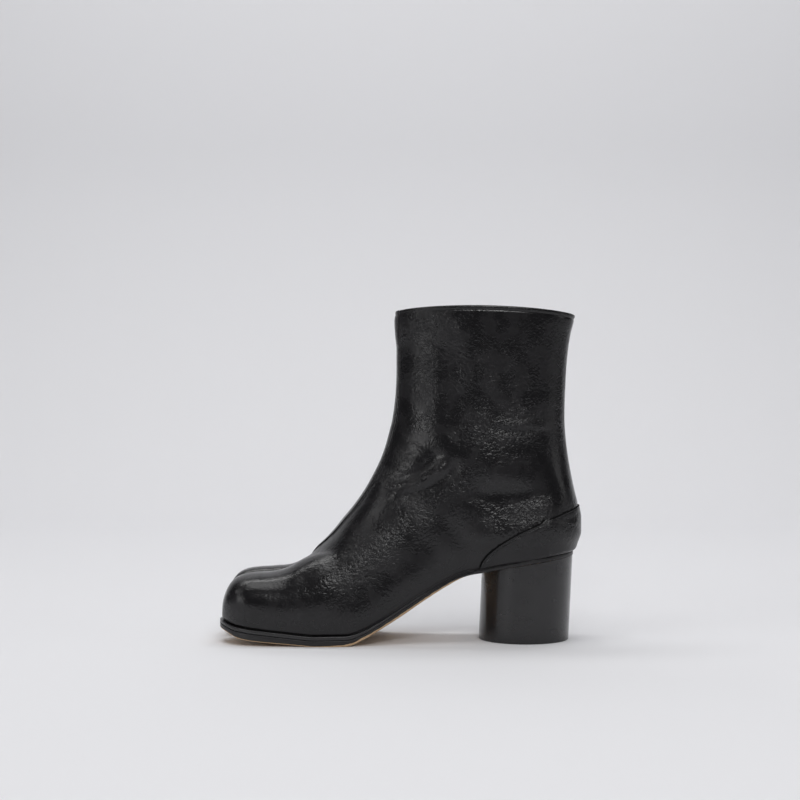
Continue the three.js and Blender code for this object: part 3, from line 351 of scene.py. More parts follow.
def noise(material, scale, detail=3, roughness=0.5, stretch=(1, 1, 1)):
    """Noise on the piece's own coordinates, with about this many patches in a metre."""
    place = new_node(material, "TexCoord").outputs["Object"]
    turned = new_node(material, "Mapping", {"Vector": place, "Scale": stretch}).outputs[0]
    inputs = {"Vector": turned, "Scale": scale, "Detail": detail, "Roughness": roughness}
    return new_node(material, "TexNoise", inputs).outputs[0]


def spread(material, value, low, high, to_low=0.0, to_high=1.0):
    """Takes one range of a value smoothly to another."""
    inputs = {"Value": value, 1: low, 2: high, 3: to_low, 4: to_high}
    return new_node(material, "MapRange", inputs, interpolation_type="SMOOTHSTEP").outputs[0]


def math_node(material, operation, a, b=0.5):
    return new_node(material, "Math", {0: a, 1: b}, operation=operation).outputs[0]


def bump(material, height, distance, strength=1.0, under=None):
    """Relief of this many millimetres, over the relief given before it."""
    inputs = {"Height": height, "Distance": distance / 1000, "Strength": strength}
    if under is not None:
        inputs["Normal"] = under
    return new_node(material, "Bump", inputs).outputs[0]


def two_colours(material, share, first, second):
    mixer = new_node(material, "Mix", {0: share}, data_type="RGBA")
    mixer.inputs[6].default_value, mixer.inputs[7].default_value = first, second
    return mixer.outputs[2]


sole_leather = new_material("sole_leather", roughness=0.42, specular_ior_level=0.5)
bare = new_node(sole_leather, "Attribute", attribute_name="bare").outputs["Fac"]
wander = noise(sole_leather, 260, 4)
line = math_node(sole_leather, "ADD", bare, spread(sole_leather, wander, 0.3, 0.7, -0.12, 0.12))
shows = spread(sole_leather, line, 0.42, 0.58)
fibre = noise(sole_leather, 420, 5, 0.6, (1, 2.5, 2.5))
darker = two_colours(sole_leather, spread(sole_leather, fibre, 0.3, 0.7), TAN, (0.48, 0.32, 0.18, 1))
ink_mix = new_node(sole_leather, "Mix", {0: shows, 7: darker}, data_type="RGBA")
ink_mix.inputs[6].default_value = INK
join(sole_leather, ink_mix.outputs[2], "Base Color")
join(sole_leather, spread(sole_leather, fibre, 0.2, 0.8, 0.3, 0.5), "Roughness")
join(sole_leather, bump(sole_leather, fibre, 0.05, 0.6), "Normal")

# Steps along one half of the sole: close at the tip, the end of the slit and the round heel
half_turn = np.linspace(0, math.pi / 2, 26)
tip_steps = TOE_X + OUTER_ROUNDING["outer"] * (1 - np.cos(half_turn))
slit_steps = SLIT_END - 4 * (1 - np.sin(half_turn[4:]))
seat_steps = HEEL_CENTRE + (HEEL_RADIUS + SEAT_MARGIN) * np.sin(half_turn)
even_steps = np.arange(TOE_X + 26, HEEL_CENTRE - 1, 2.2)
even_steps = even_steps[np.abs(even_steps - SLIT_END + 2) > 3.5]
sole_x = np.unique(np.concatenate([tip_steps, even_steps, slit_steps, seat_steps]))
WELT_END_X = (WELT_END - 0.5) * SHOE_LENGTH
PARE_LIFT = 1.25  # the pared slope's height, in times the table's
SOLE_CORNER, PARE_HOLLOW = 0.45, 1.7  # rounding of the upper edge, and how hollow the slope is
BARE_LEAST, BARE_FADE = 0.35, 0.6  # height left without ink at the forefoot, and its soft border
BARE_FROM, BARE_TO = (-60, -35), (34, 46)  # X where the whole slope becomes bare, and where it ends


def sole_half(side):
    """Rings round half of the sole: top, rounded upper corner, wall, pared slope, underside."""
    x = sole_x[:, None]
    top = np.where(x < WELT_END_X, welt_bottom(x) - GAP, feather(x) - GAP)
    low = underside(x)
    edge = outer_edge(x, side, 0)
    middle = CLEFT_OFFSET * (1 - smooth((x - SLIT_END) / 60))
    inside = np.where(x < SLIT_END, inner_edge(x, side, 0), middle)
    width = np.abs(edge - inside)
    corner = np.minimum(SOLE_CORNER, np.minimum((top - low) / 4, width / 4))
    slope = np.minimum(SOLE_EDGE * outline("bevel", x), width / 4)
    lift = np.minimum(PARE_LIFT * SOLE_EDGE * outline("lift", x), (top - low) / 2)
    lift = lift * np.where(width > 1e-6, 1, 0)
    quarter = np.linspace(0, math.pi / 2, 5)[None, :]
    over_y = corner * (1 - np.sin(quarter))
    over_z = corner * (1 - np.cos(quarter))
    down = np.linspace(0, 1, 7)[None, :]
    under = slope + (width - slope) * 0.3
    rings_in = [width, width * 0.6, width * 0.25 + corner, over_y, slope * down**PARE_HOLLOW, under, width]
    rings_z = [top, top, top, top - over_z, mix(low + lift, low, 1 - (1 - down) ** 1.5), low, low]
    inward = np.hstack([np.broadcast_to(part, (len(x), part.shape[1])) for part in rings_in])
    z = np.hstack([np.broadcast_to(part, (len(x), part.shape[1])) for part in rings_z])
    y = edge - SIDES[side] * inward
    points = np.stack([np.broadcast_to(x, y.shape), y, z], axis=-1)
    height = z - low
    limit = np.where(x < WELT_END_X - 6, np.maximum(0.5 * lift, BARE_LEAST), 0)
    (start, full), (ebb, end) = BARE_FROM, BARE_TO
    at_waist = smooth((x - start) / (full - start)) * (1 - smooth((x - ebb) / (end - ebb)))
    shows_bare = smooth(0.5 + (mix(limit, lift, at_waist) - height) / BARE_FADE)
    return points, shows_bare


sole_points, sole_faces, sole_bare = [], [], []
for side in SIDES:
    points, shows_bare = sole_half(side)
    rows, across = points.shape[:2]
    ids = np.arange(rows * across).reshape(rows, across) + sum(map(len, sole_points))
    sole_points.append(points.reshape(-1, 3))
    sole_bare.append(shows_bare.reshape(-1))
    sole_faces.append(squares(ids, turned=side == "outer"))
    split = ids[sole_x <= SLIT_END + 1e-6]
    wall = np.stack([split[:, -1], split[:, 0]], axis=1)
    sole_faces.append(squares(wall, turned=side == "outer"))
sole = add_piece(
    "sole",
    np.concatenate(sole_points),
    np.concatenate(sole_faces),
    [sole_leather],
    values={"bare": np.concatenate(sole_bare)},
)
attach(sole, "root")
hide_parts("outsole")


# Welt
# A black strip between upper and sole, from the inner side of the heel breast round both toes
# and through the cleft. It is stitched to the upper, and its edge is inked with the sole's.

edge_ink = new_material("edge_ink", base_color=INK, roughness=0.34, coat_weight=0.3, coat_roughness=0.25)
rub = noise(edge_ink, 900, 4, 0.6)
join(edge_ink, spread(edge_ink, rub, 0.3, 0.75, 0.28, 0.46), "Roughness")
join(edge_ink, bump(edge_ink, rub, 0.06, 0.5), "Normal")

WELT_CORNER = 0.45


def welt_line(side, inset):
    """One side's half of the welt's path at an inset, from its end at the waist round the tip
    and along the cleft to the end of the slit."""
    tip = TOE_X + inset
    back = np.linspace(WELT_END_X, tip + OUTER_ROUNDING[side], 70)[:-1]
    round_tip = tip + OUTER_ROUNDING[side] * (1 - np.sin(np.linspace(0, math.pi / 2, 40)))
    outside = np.concatenate([back, round_tip])
    share = (1 - np.cos(np.linspace(0, math.pi, 70))) / 2
    inside = mix(tip, SLIT_END + inset, share)[1:]
    xs = np.concatenate([outside, inside])
    ys = np.concatenate([outer_edge(outside, side, inset), inner_edge(inside, side, inset)])
    return xs, ys


def welt_rings():
    """The strip's section carried along the path: inset from the edge, and share of the height."""
    arc = np.linspace(0, math.pi / 2, 5)
    rise, fall = WELT_CORNER * (1 - np.sin(arc)), WELT_CORNER * (1 - np.cos(arc))
    insets = np.concatenate([[WELT_WIDTH], rise, fall, [WELT_WIDTH]])
    drops = np.concatenate([[0], fall, -rise, [0]])
    from_top = np.concatenate([np.ones(6, bool), np.zeros(6, bool)])
    rings = []
    for inset, drop, top in zip(insets, drops, from_top):
        outer_x, outer_y = welt_line("outer", inset)
        inner_x, inner_y = welt_line("inner", inset)
        xs = np.concatenate([outer_x, inner_x[::-1][1:]])
        ys = np.concatenate([outer_y, inner_y[::-1][1:]])
        zs = feather(xs) - GAP - drop if top else welt_bottom(xs) - drop
        rings.append(np.stack([xs, ys, zs], axis=-1))
    return np.stack(rings, axis=1)


welt_points = welt_rings()
rows, across = welt_points.shape[:2]
ids = np.arange(rows * across).reshape(rows, across)
ids = np.hstack([ids, ids[:, :1]])
fold = across // 2
start_cap = np.stack([ids[0, :fold], ids[0, fold:-1][::-1]])
end_cap = np.stack([ids[-1, :fold], ids[-1, fold:-1][::-1]])
welt_faces = np.concatenate([squares(ids), squares(start_cap, turned=True), squares(end_cap)])
welt = add_piece("welt_strip", welt_points.reshape(-1, 3), welt_faces, [edge_ink])
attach(welt, "root")
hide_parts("welt")


# Heel
# A straight round block, a little further forward at its foot, covered in black leather that is
# polished smooth. Its top follows the slope of the seat.

HEEL_LEAN, HEEL_CORNER_ROUND = 2.8, 0.5
heel_cover = new_material("heel_cover", specular_ior_level=0.4, coat_weight=0.25, coat_roughness=0.12)
cloud = noise(heel_cover, 90, 3)
blacks = two_colours(heel_cover, cloud, (0.012, 0.0115, 0.0125, 1), (0.016, 0.015, 0.016, 1))
join(heel_cover, blacks, "Base Color")
join(heel_cover, spread(heel_cover, cloud, 0.3, 0.7, 0.2, 0.29), "Roughness")
join(heel_cover, bump(heel_cover, noise(heel_cover, 700, 4, 0.6), 0.02, 0.4), "Normal")

foot_x = HEEL_CENTRE - HEEL_LEAN
heel_turn = np.linspace(0, 2 * math.pi, 145)[None, :]
arc = np.linspace(0, math.pi / 2, 5)[:, None]
radii = np.concatenate([[[0], [0.5], [0.9]], 1 - HEEL_CORNER_ROUND * (1 - np.sin(arc)) / HEEL_RADIUS])
heights = np.concatenate([[[0], [0], [0]], HEEL_CORNER_ROUND * (1 - np.cos(arc))])
bottom_x = foot_x + HEEL_RADIUS * radii * np.cos(heel_turn)
bottom_y = HEEL_RADIUS * radii * np.sin(heel_turn)
bottom = np.stack([bottom_x, bottom_y, np.broadcast_to(heights, bottom_x.shape)], axis=-1)


def heel_top(radius):
    """A ring of the block's top: the point of each upright line that meets the sole."""
    z = np.full(heel_turn.shape, HEEL_HEIGHT)
    for _ in range(6):
        x = foot_x + HEEL_LEAN * z / HEEL_HEIGHT + radius * np.cos(heel_turn)
        z = underside(x) - GAP
    return np.stack([x, radius * np.sin(heel_turn), z], axis=-1)


crown = np.concatenate([heel_top(HEEL_RADIUS * share) for share in (1, 0.75, 0.4, 0)])
wall = [mix(bottom[-1:], crown[:1], share) for share in np.linspace(0, 1, 25)[1:-1]]
heel_points = np.concatenate([bottom, *wall, crown])
ids = np.arange(heel_points[..., 0].size).reshape(heel_points.shape[:2])
heel = add_piece("heel", heel_points.reshape(-1, 3), squares(ids, turned=True), [heel_cover], sharp=50)
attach(heel, "root")
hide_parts("heel_block")


# Upper
# Soft black leather over a lining, drawn over the last in one piece and split into two toes,
# with a raised strip up the front. Its lower edge turns in under the welt, and wear has set
# soft folds at the ankle and a broken grain over the instep, the ankle and the top of the shaft.

TOE_HEIGHT, INSTEP_HEIGHT, COLLAR_HEIGHT = 48, 91, 231.5
ANKLE_DEPTH, SHAFT_WIDTH, COLLAR_ARCH = 115.3, 60, 4.9
CLEFT_RISE, CLEFT_RISE_POWER, LOBE_FADE, TOP_FADE = 17, 2.4, 46, 115
WALL = 2
WIDEST, LOBE_CREST = 0.3, 0.62
CREST_PLACE = {"outer": 0.42, "inner": 0.46}
INNER_SINK = 0.055
CLEFT_WALL_ROUNDNESS = 4
STRIP_EDGE, STRIP_RISE = 0.905, 0.7  # the raised strip's edge, as a place on the slice
CREST_END, CREST_RUN = 14, 34  # how far behind the cleft's root its crests meet, and over what run

# Slices from a low point to a high one. The first rows give the low point's share of the length
# on the feather line, the later ones its share and height up the back. run and level place the
# high point, and the rest are width, roundness and the collar's arch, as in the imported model.
FOOT_ROWS = 22
SLICES = table(
    "low_at up run level shaft outer inner wide low high arch",
    [
        (0.0105, 0, 0.0, 0, 0, 1, 1, 0.4, 2, 2.6, 0),
        (0.0132, 0, 0.001, 0.2, 0, 1.0, 1.0, 0.4, 2, 2.6, 0),
        (0.021, 0, 0.008, 0.36, 0, 1.004, 1.004, 0.4, 2, 2.6, 0),
        (0.034, 0, 0.034, 0.53, 0, 1.008, 1.008, 0.4, 2, 2.6, 0),
        (0.052, 0, 0.083, 0.71, 0, 1.012, 1.012, 0.4, 2, 2.5, 0),
        (0.075, 0, 0.16, 0.86, 0, 1.016, 1.016, 0.4, 2, 2.4, 0),
        (0.1, 0, 0.275, 0.95, 0, 1.02, 1.02, 0.4, 2, 2.3, 0),
        (0.13, 0, 0.45, 0.992, 0, 1.022, 1.022, 0.38, 2, 2.2, 0),
        (0.162, 0, 0.64, 1.01, 0, 1.025, 1.025, 0.37, 2, 2.1, 0),
        (0.194, 0, 0.81, 1.06, 0, 1.028, 1.028, 0.36, 2, 2.05, 0),
        (0.226, 0, 0.965, 1.16, 0, 1.03, 1.03, 0.35, 2, 2, 0),
        (0.258, 0, 1.09, 1.275, 0, 1.03, 1.03, 0.34, 2, 1.95, 0),
        (0.298, 0, 1.212, 1.425, 0, 1.03, 1.03, 0.33, 2, 1.9, 0),
        (0.35, 0, 1.33, 1.61, 0, 1.035, 1.045, 0.32, 2, 1.88, 0),
        (0.412, 0, 1.447, 1.836, 0, 1.055, 1.075, 0.32, 2, 1.85, 0),
        (0.484, 0, 1.552, 2.01, 0, 1.1, 1.15, 0.33, 2, 1.85, 0),
        (0.568, 0, 1.67, 2.09, 0, 1.165, 1.28, 0.35, 2, 1.85, 0),
        (0.66, 0, 1.77, 2.174, 0, 1.18, 1.3, 0.38, 2, 1.86, 0),
        (0.756, 0, 1.846, 2.25, 0, 1.085, 1.13, 0.41, 2, 1.88, 0),
        (0.852, 0, 1.895, 2.317, 0, 1.025, 1.025, 0.43, 2, 1.9, 0),
        (0.922, 0, 1.922, 2.364, 0, 1.028, 1.028, 0.44, 2.05, 1.9, 0),
        (0.963, 0, 1.94, 2.397, 0, 1.03, 1.03, 0.45, 2.2, 1.9, 0),
        (0, 0, 1.953, 2.42, 0, 1.03, 1.03, 0.45, 2.45, 1.9, 0),
        (0.9935, 0.03, 1.961, 2.438, 0.05, 1.03, 1.03, 0.45, 2.45, 1.91, 0),
        (1.003, 0.078, 1.968, 2.46, 0.12, 1.03, 1.03, 0.45, 2.45, 1.925, 0),
        (1.003, 0.135, 1.976, 2.483, 0.25, 1.025, 1.025, 0.455, 2.45, 1.945, 0),
        (0.996, 0.187, 1.982, 2.506, 0.4, 1.015, 1.015, 0.46, 2.45, 1.965, 0),
        (0.985, 0.253, 1.988, 2.531, 0.6, 1.0, 1.0, 0.465, 2.45, 1.985, 0),
        (0.9735, 0.336, 1.994, 2.56, 0.8, 0.985, 0.985, 0.47, 2.45, 2.005, 0),
        (0.9635, 0.434, 1.998, 2.595, 1, 0.975, 0.975, 0.47, 2.45, 2.025, 0),
        (0.9582, 0.548, 2.003, 2.642, 1, 0.965, 0.965, 0.47, 2.45, 2.045, 0),
        (0.9605, 0.672, 2.005, 2.706, 1, 0.968, 0.968, 0.47, 2.45, 2.05, 0),
        (0.966, 0.796, 2.005, 2.784, 1, 0.98, 0.98, 0.47, 2.45, 2.05, 0.1),
        (0.9745, 0.885, 1.99, 2.862, 1, 1.0, 1.0, 0.47, 2.45, 2.05, 0.35),
        (0.982, 0.928, 1.983, 2.922, 1, 1.008, 1.008, 0.47, 2.45, 2.05, 0.75),
        (0.9865, 0.962, 2.0, 2.976, 1, 1.005, 1.005, 0.47, 2.45, 2.05, 1),
    ],
)
UPPER_TIP = TOE_X + EDGE_STEP
SHAFT_FRONT = (0.9532 - 0.5) * SHOE_LENGTH - ANKLE_DEPTH
seat_middle = np.array(HEEL_CENTRE)
HEEL_CORNER = HEEL_CENTRE + float(bare_half(seat_middle, "outer") - edge_step(seat_middle))
SEAT_Z = float(feather(np.array(HEEL_CORNER)))

low_x = (SLICES["low_at"] - 0.5) * SHOE_LENGTH
low_x[:FOOT_ROWS] = np.maximum(low_x[:FOOT_ROWS], UPPER_TIP)
low_x[0], low_x[FOOT_ROWS] = UPPER_TIP, HEEL_CORNER
low_z = mix(SEAT_Z, COLLAR_HEIGHT, SLICES["up"])
low_z[: FOOT_ROWS + 1] = feather(low_x[: FOOT_ROWS + 1])
run = SLICES["run"]
high_x = np.where(run <= 1, mix(UPPER_TIP, ROOT_X, run), mix(ROOT_X, SHAFT_FRONT, run - 1))
tip_z = float(feather(np.array(UPPER_TIP)))
high_z = np.interp(SLICES["level"], [0, 1, 2, 3], [tip_z, TOE_HEIGHT, INSTEP_HEIGHT, COLLAR_HEIGHT])
steps = (np.hypot(np.diff(low_x), np.diff(low_z)) + np.hypot(np.diff(high_x), np.diff(high_z))) / 2
ROW_U = np.concatenate([[0], np.cumsum(steps)])
CORNER_U, COLLAR_U = ROW_U[FOOT_ROWS], ROW_U[-1]
SLICES.update(low_x=low_x, low_z=low_z, high_x=high_x, high_z=high_z)


def slice_point(side, u, place):
    """A point of a slice. u runs from the toe tip back and up to the collar, and place goes round
    one half of the slice: from the low point over the widest place to the middle of the top. A
    superellipse arch blends into a toe lobe with its own crest and cleft wall."""
    u, place = np.broadcast_arrays(np.clip(u, 0, COLLAR_U), place)
    cut = {name: through(ROW_U, SLICES[name], u) for name in SLICES}
    on_foot = u <= CORNER_U
    x0 = np.where(on_foot, np.clip(cut["low_x"], UPPER_TIP, HEEL_CORNER), cut["low_x"])
    z0 = np.where(on_foot, feather(x0), cut["low_z"])
    behind = np.maximum(x0 - ROOT_X, 0)
    valley = (1 - np.clip(behind / CLEFT_RISE, 0, 1)) ** CLEFT_RISE_POWER
    lobes = 1 - smooth(behind / LOBE_FADE)
    sink = INNER_SINK * smooth(1 + (x0 - ROOT_X) / CLEFT_RISE)
    top = CLEFT_OFFSET * (1 - smooth((x0 - ROOT_X) / TOP_FADE))
    inset = edge_step(x0)
    foot = np.where(on_foot, outer_edge(x0, side, inset), 0)
    full = SIDES[side] * (bare_half(x0, side) - inset)
    bare = np.where(x0 < HEEL_CENTRE, foot, full)
    widest = mix(bare, SIDES[side] * SHAFT_WIDTH / 2, cut["shaft"]) * cut[side]
    before = np.minimum(x0, ROOT_X)
    gap = inner_edge(before, side, edge_step(x0))
    quarter = math.pi / 2
    angle = np.minimum(place / WIDEST, 1) * quarter
    lower_h = cut["wide"] * (1 - np.cos(angle))
    swell = (1 - np.cos(angle) ** cut["low"]) ** (1 / cut["low"])
    round_heel = smooth((x0 - HEEL_CENTRE) / (HEEL_CORNER - HEEL_CENTRE))
    eased = np.where(x0 < HEEL_CENTRE, foot, np.where(on_foot, full * (1 - round_heel**3), 0))
    lower_y = mix(mix(foot, eased, smooth(place / 0.1)), widest, swell)
    angle = np.clip((place - WIDEST) / (1 - WIDEST), 0, 1) * quarter
    power = 2 / cut["high"]
    arch_h = mix(cut["wide"], 1, np.sin(angle) ** power)
    arch_y = mix(top, widest, np.where(place >= 1, 0, np.clip(np.cos(angle), 0, 1) ** power))
    flare = CLEFT_FLARE * np.clip((SLIT_END + inset - x0) / CLEFT_LENGTH, 0, 1)
    opening = (CLEFT_SLIT / 2 + inset + flare) * smooth((ROOT_X + CREST_END - x0) / CREST_RUN)
    fading = CLEFT_OFFSET + SIDES[side] * opening
    crest = mix(np.where(x0 > ROOT_X + CREST_END - CREST_RUN, fading, gap), widest, CREST_PLACE[side])
    crest_h = 1 - sink if side == "inner" else np.ones_like(sink)
    angle = np.clip((place - WIDEST) / (LOBE_CREST - WIDEST), 0, 1) * quarter
    rise_h = mix(cut["wide"], crest_h, np.sin(angle) ** power)
    rise_y = mix(crest, widest, np.clip(np.cos(angle), 0, 1) ** power)
    past = np.clip((place - LOBE_CREST) / (1 - LOBE_CREST), 0, 1)
    down = np.where(place >= 1, 0, np.clip(np.cos(past * quarter), 0, 1) ** (2 / CLEFT_WALL_ROUNDNESS))
    wall_h = mix(mix(crest_h, 1, smooth(past)), crest_h * down, valley)
    wall_y = mix(crest, gap, np.sin(past * quarter) ** (2 / CLEFT_WALL_ROUNDNESS))
    lobe_h = np.where(place <= LOBE_CREST, rise_h, wall_h)
    lobe_y = np.where(place <= LOBE_CREST, rise_y, wall_y)
    h = np.where(place <= WIDEST, lower_h, mix(arch_h, lobe_h, lobes))
    y = np.where(place <= WIDEST, lower_y, mix(arch_y, lobe_y, lobes))
    lift = COLLAR_ARCH * cut["arch"] * np.clip(4 * h * (1 - h), 0, None) ** 0.75
    return np.stack([mix(x0, cut["high_x"], h), y, mix(z0, cut["high_z"], h) + lift], axis=-1)


def u_at(x):
    """Where the low point of a slice passes a given X on the foot."""
    u = np.linspace(0, CORNER_U, 4000)
    return np.interp(x, np.clip(through(ROW_U, SLICES["low_x"], u), UPPER_TIP, HEEL_CORNER), u)


back_u = np.linspace(CORNER_U, COLLAR_U, 3000)
BACK_Z, BACK_X = through(ROW_U, SLICES["low_z"], back_u), through(ROW_U, SLICES["low_x"], back_u)
CUP_TOP, CUP_LINING, CUP_SWELL, CUP_RISE = 84, 0.7, 0.02, 12
BULB_TOP, BULB_FADE = 98, 36
BULB_START, BULB_BLEND = 16, 14  # how far before the heel's centre the rounding starts, and its run
SEAT_POWER, BULB_POWER, BULB_RISE = 2, 2.35, 14


def width_over_heel(side):
    """Half-width of the slices straight above the middle of the heel, by height."""
    u = np.linspace(u_at(HEEL_CENTRE) + 0.01, COLLAR_U - 20, 300)
    cut = slice_point(side, u[:, None], np.linspace(0, 0.6, 400)[None, :])
    first = np.argmax(cut[..., 0] < HEEL_CENTRE, axis=1)
    at = cut[np.arange(len(u)), first]
    z, half = at[:, 2], np.abs(at[:, 1])
    cup = (HEEL_RADIUS + SEAT_MARGIN + CUP_LINING) * (1 + CUP_SWELL * smooth((z - SEAT_Z) / CUP_RISE))
    return z, np.where(z < CUP_TOP, np.maximum(half, cup), half)


HEEL_WIDTH = {side: width_over_heel(side) for side in SIDES}


def last_surface(side, u, place):
    """A point of the boot's outer form: a slice's point, but round the heel each level section
    is a rounded end whose reach is the back seam's and whose width is the slices'."""
    u, place = np.broadcast_arrays(np.clip(u, 0, COLLAR_U), place)
    p = slice_point(side, u, place)
    x, z = p[..., 0], p[..., 2]
    reach = np.interp(z, BACK_Z, BACK_X) - HEEL_CENTRE
    into = np.clip((x - HEEL_CENTRE) / reach, 0, 1)
    power = mix(SEAT_POWER, BULB_POWER, smooth((z - SEAT_Z) / BULB_RISE))
    half = np.interp(z, *HEEL_WIDTH[side]) * (1 - into**power) ** (1 / power)
    share = smooth((x - HEEL_CENTRE + BULB_START) / BULB_BLEND) * (place > 0)
    share = share * (1 - smooth((z - BULB_TOP) / BULB_FADE))
    p[..., 1] = mix(p[..., 1], SIDES[side] * half, share)
    return p


def unit(vectors):
    """Vectors made one long."""
    length = np.linalg.norm(vectors, axis=-1, keepdims=True)
    return vectors / np.maximum(length, 1e-9)


def outward(side, u, place):
    """Unit normal of the outer form, from small steps along and round it."""
    u, place = np.broadcast_arrays(u, place)
    du, dp = 0.4, 0.006
    along = last_surface(side, np.minimum(u + du, COLLAR_U), place)
    along = along - last_surface(side, np.maximum(u - du, 0.01), place)
    around = last_surface(side, u, np.minimum(place + dp, 1))
    around = around - last_surface(side, u, np.maximum(place - dp, 0))
    normal = np.cross(along, around) * -SIDES[side]
    return unit(normal)


ROOT_U = float(u_at(ROOT_X))
tip_u = 34 * np.linspace(0, 1, 30) ** 1.8
root_u = ROOT_U + np.linspace(-4, 17, 22)
toe_u = np.arange(35, root_u[0], 1.7)
round_end = np.sin(np.linspace(0, math.pi / 2, 30)[:-1])
heel_u = u_at(HEEL_CENTRE + (HEEL_CORNER - HEEL_CENTRE) * round_end)
foot_u = np.arange(root_u[-1] + 1.2, heel_u[0] - 0.8, 1.7)
shaft_u = np.arange(CORNER_U + 0.6, COLLAR_U - 5.2, 1.45)
collar_u = COLLAR_U - np.array([4.6, 4.1, 3.7, 3.3, 2.9, 2.4, 1.9, 1.4, 1.0, 0.7, 0.45, 0.25, 0.1, 0])
upper_u = np.concatenate([tip_u, toe_u, root_u, foot_u, heel_u, [ROOT_U, CORNER_U], shaft_u, collar_u])
upper_u = np.unique(np.round(upper_u, 6))
upper_u = upper_u[(np.abs(upper_u - ROOT_U) > 0.3) | (np.abs(upper_u - ROOT_U) < 1e-5)]
upper_place = [np.linspace(0, 0.85, 50), np.linspace(0.858, 0.92, 19), np.linspace(0.93, 1, 7)]
upper_place = np.concatenate(upper_place)


def side_distance(points, line):
    """Distance in side view from points to a bent line, and the share of its length where the
    nearest place lies."""
    a, b = line[:-1], line[1:]
    d = b - a
    p = points[..., None, [0, 2]]
    t = np.clip(((p - a) * d).sum(-1) / (d * d).sum(-1), 0, 1)
    away = np.linalg.norm(p - (a + t[..., None] * d), axis=-1)
    length = np.hypot(*d.T)
    nearest = away.argmin(-1)
    start = np.concatenate([[0], np.cumsum(length)])[:-1]
    on = np.take_along_axis(t, nearest[..., None], -1)[..., 0] * length[nearest] + start[nearest]
    return away.min(-1), on / length.sum()


# Folds set by wear: side, height (a trough is minus), width, and the line from front to back
FOLDS = [
    ("outer", 2.3, 3.4, [(-12, 101.5), (-5, 103.5), (16, 111.8), (25.5, 119), (33, 128)]),
    ("outer", -2.2, 3.6, [(-6, 97.5), (2, 101.5), (23, 109), (34, 117), (43, 128)]),
    ("outer", -2.0, 5, [(-15, 106.5), (-7.5, 108.5), (13, 117), (22, 124.5), (29, 134)]),
    ("outer", -1.2, 8, [(38, 212), (36, 180), (38, 150), (44, 128)]),
    ("outer", -1.3, 1.7, [(62, 145.8), (76, 146.2), (104, 145.9)]),
    ("outer", 1.2, 2.2, [(64, 149.6), (82, 149.8), (106, 149)]),
    ("outer", 1.9, 9, [(44, 70), (62, 75), (84, 77), (118, 83)]),
    ("outer", -2.3, 9, [(38, 106), (60, 102), (84, 102), (114, 107)]),
    ("outer", -1.1, 9, [(-50, 24), (-24, 40), (2, 58), (26, 78)]),
    ("outer", 0.9, 7, [(-66, 42), (-42, 50), (-24, 64), (-10, 84)]),
    ("inner", 1.6, 6, [(-12, 100), (8, 109), (26, 117), (42, 121)]),
    ("inner", -1.4, 5, [(-8, 94), (12, 101), (32, 109), (50, 112)]),
    ("inner", -0.9, 2.6, [(56, 138), (78, 140), (100, 139)]),
    ("inner", 0.8, 3.2, [(58, 143), (80, 145), (102, 144)]),
    ("inner", 1.4, 11, [(40, 76), (60, 81), (84, 83), (118, 87)]),
    ("inner", -2.6, 13, [(30, 118), (60, 114), (84, 114), (116, 117)]),
    ("inner", -0.9, 8, [(-40, 34), (-12, 46), (10, 62)]),
]


def fold_height(points, normals):
    """All folds together, in millimetres outwards: a bell across each line, faded at its ends and
    kept to its own side."""
    total = np.zeros(points.shape[:-1])
    for side, height, width, line in FOLDS:
        away, on = side_distance(points, np.array(line, float))
        faces_side = smooth(0.4 + 1.2 * SIDES[side] * normals[..., 1])
        taper = smooth(np.minimum(on, 1 - on) / 0.22)
        total += height * np.exp(-((away / width) ** 2)) * taper * faces_side
    return total


# Patches of broken grain: middle X and Z, half-length, half-height, tilt in degrees, amount
GRAIN_PATCHES = [
    (22, 214, 26, 12, 0, 0.75), (17, 180, 9, 30, 0, 0.8), (14, 222, 10, 8, 0, 0.9),
    (60, 185, 50, 30, 0, 0.35), (78, 150, 40, 22, 0, 0.55),
    (86, 87, 30, 9, 8, 1.0), (40, 112, 26, 16, 20, 0.3), (88, 74, 26, 9, 8, 0.55),
    (10, 90, 20, 20, 40, 0.5), (-20, 60, 34, 16, 40, 0.6), (-12, 118, 14, 16, 50, 0.5),
]
WRINKLE_PATCHES = [
    (12, 90, 22, 12, 40, 0.6), (-22, 56, 30, 14, 35, 0.7), (44, 112, 22, 12, 25, 0.35),
    (84, 148, 32, 14, 0, 0.6), (18, 215, 16, 12, 0, 0.5), (-60, 40, 26, 9, 20, 0.25),
]


def patches(points, rows):
    """The strongest of some soft tilted ovals at each point, in side view."""
    value = np.zeros(points.shape[:-1])
    for x, z, long, high, tilt, amount in rows:
        c, s = math.cos(math.radians(tilt)), math.sin(math.radians(tilt))
        dx, dz = points[..., 0] - x, points[..., 2] - z
        inside = ((dx * c + dz * s) / long) ** 2 + ((dz * c - dx * s) / high) ** 2
        value = np.maximum(value, amount * np.exp(-inside))
    return value


COUNTER_HEIGHT, COUNTER_LENGTH, COUNTER_CURVE = 31, 70.5, 0.45
COUNTER_FRONT = SHOE_LENGTH / 2 - COUNTER_LENGTH


def seam_z(x):
    """Height of the counter's seam, from the feather line up to the back of the heel."""
    share = np.maximum((x - COUNTER_FRONT) / COUNTER_LENGTH, 0)
    return feather(x) + COUNTER_HEIGHT * share**COUNTER_CURVE


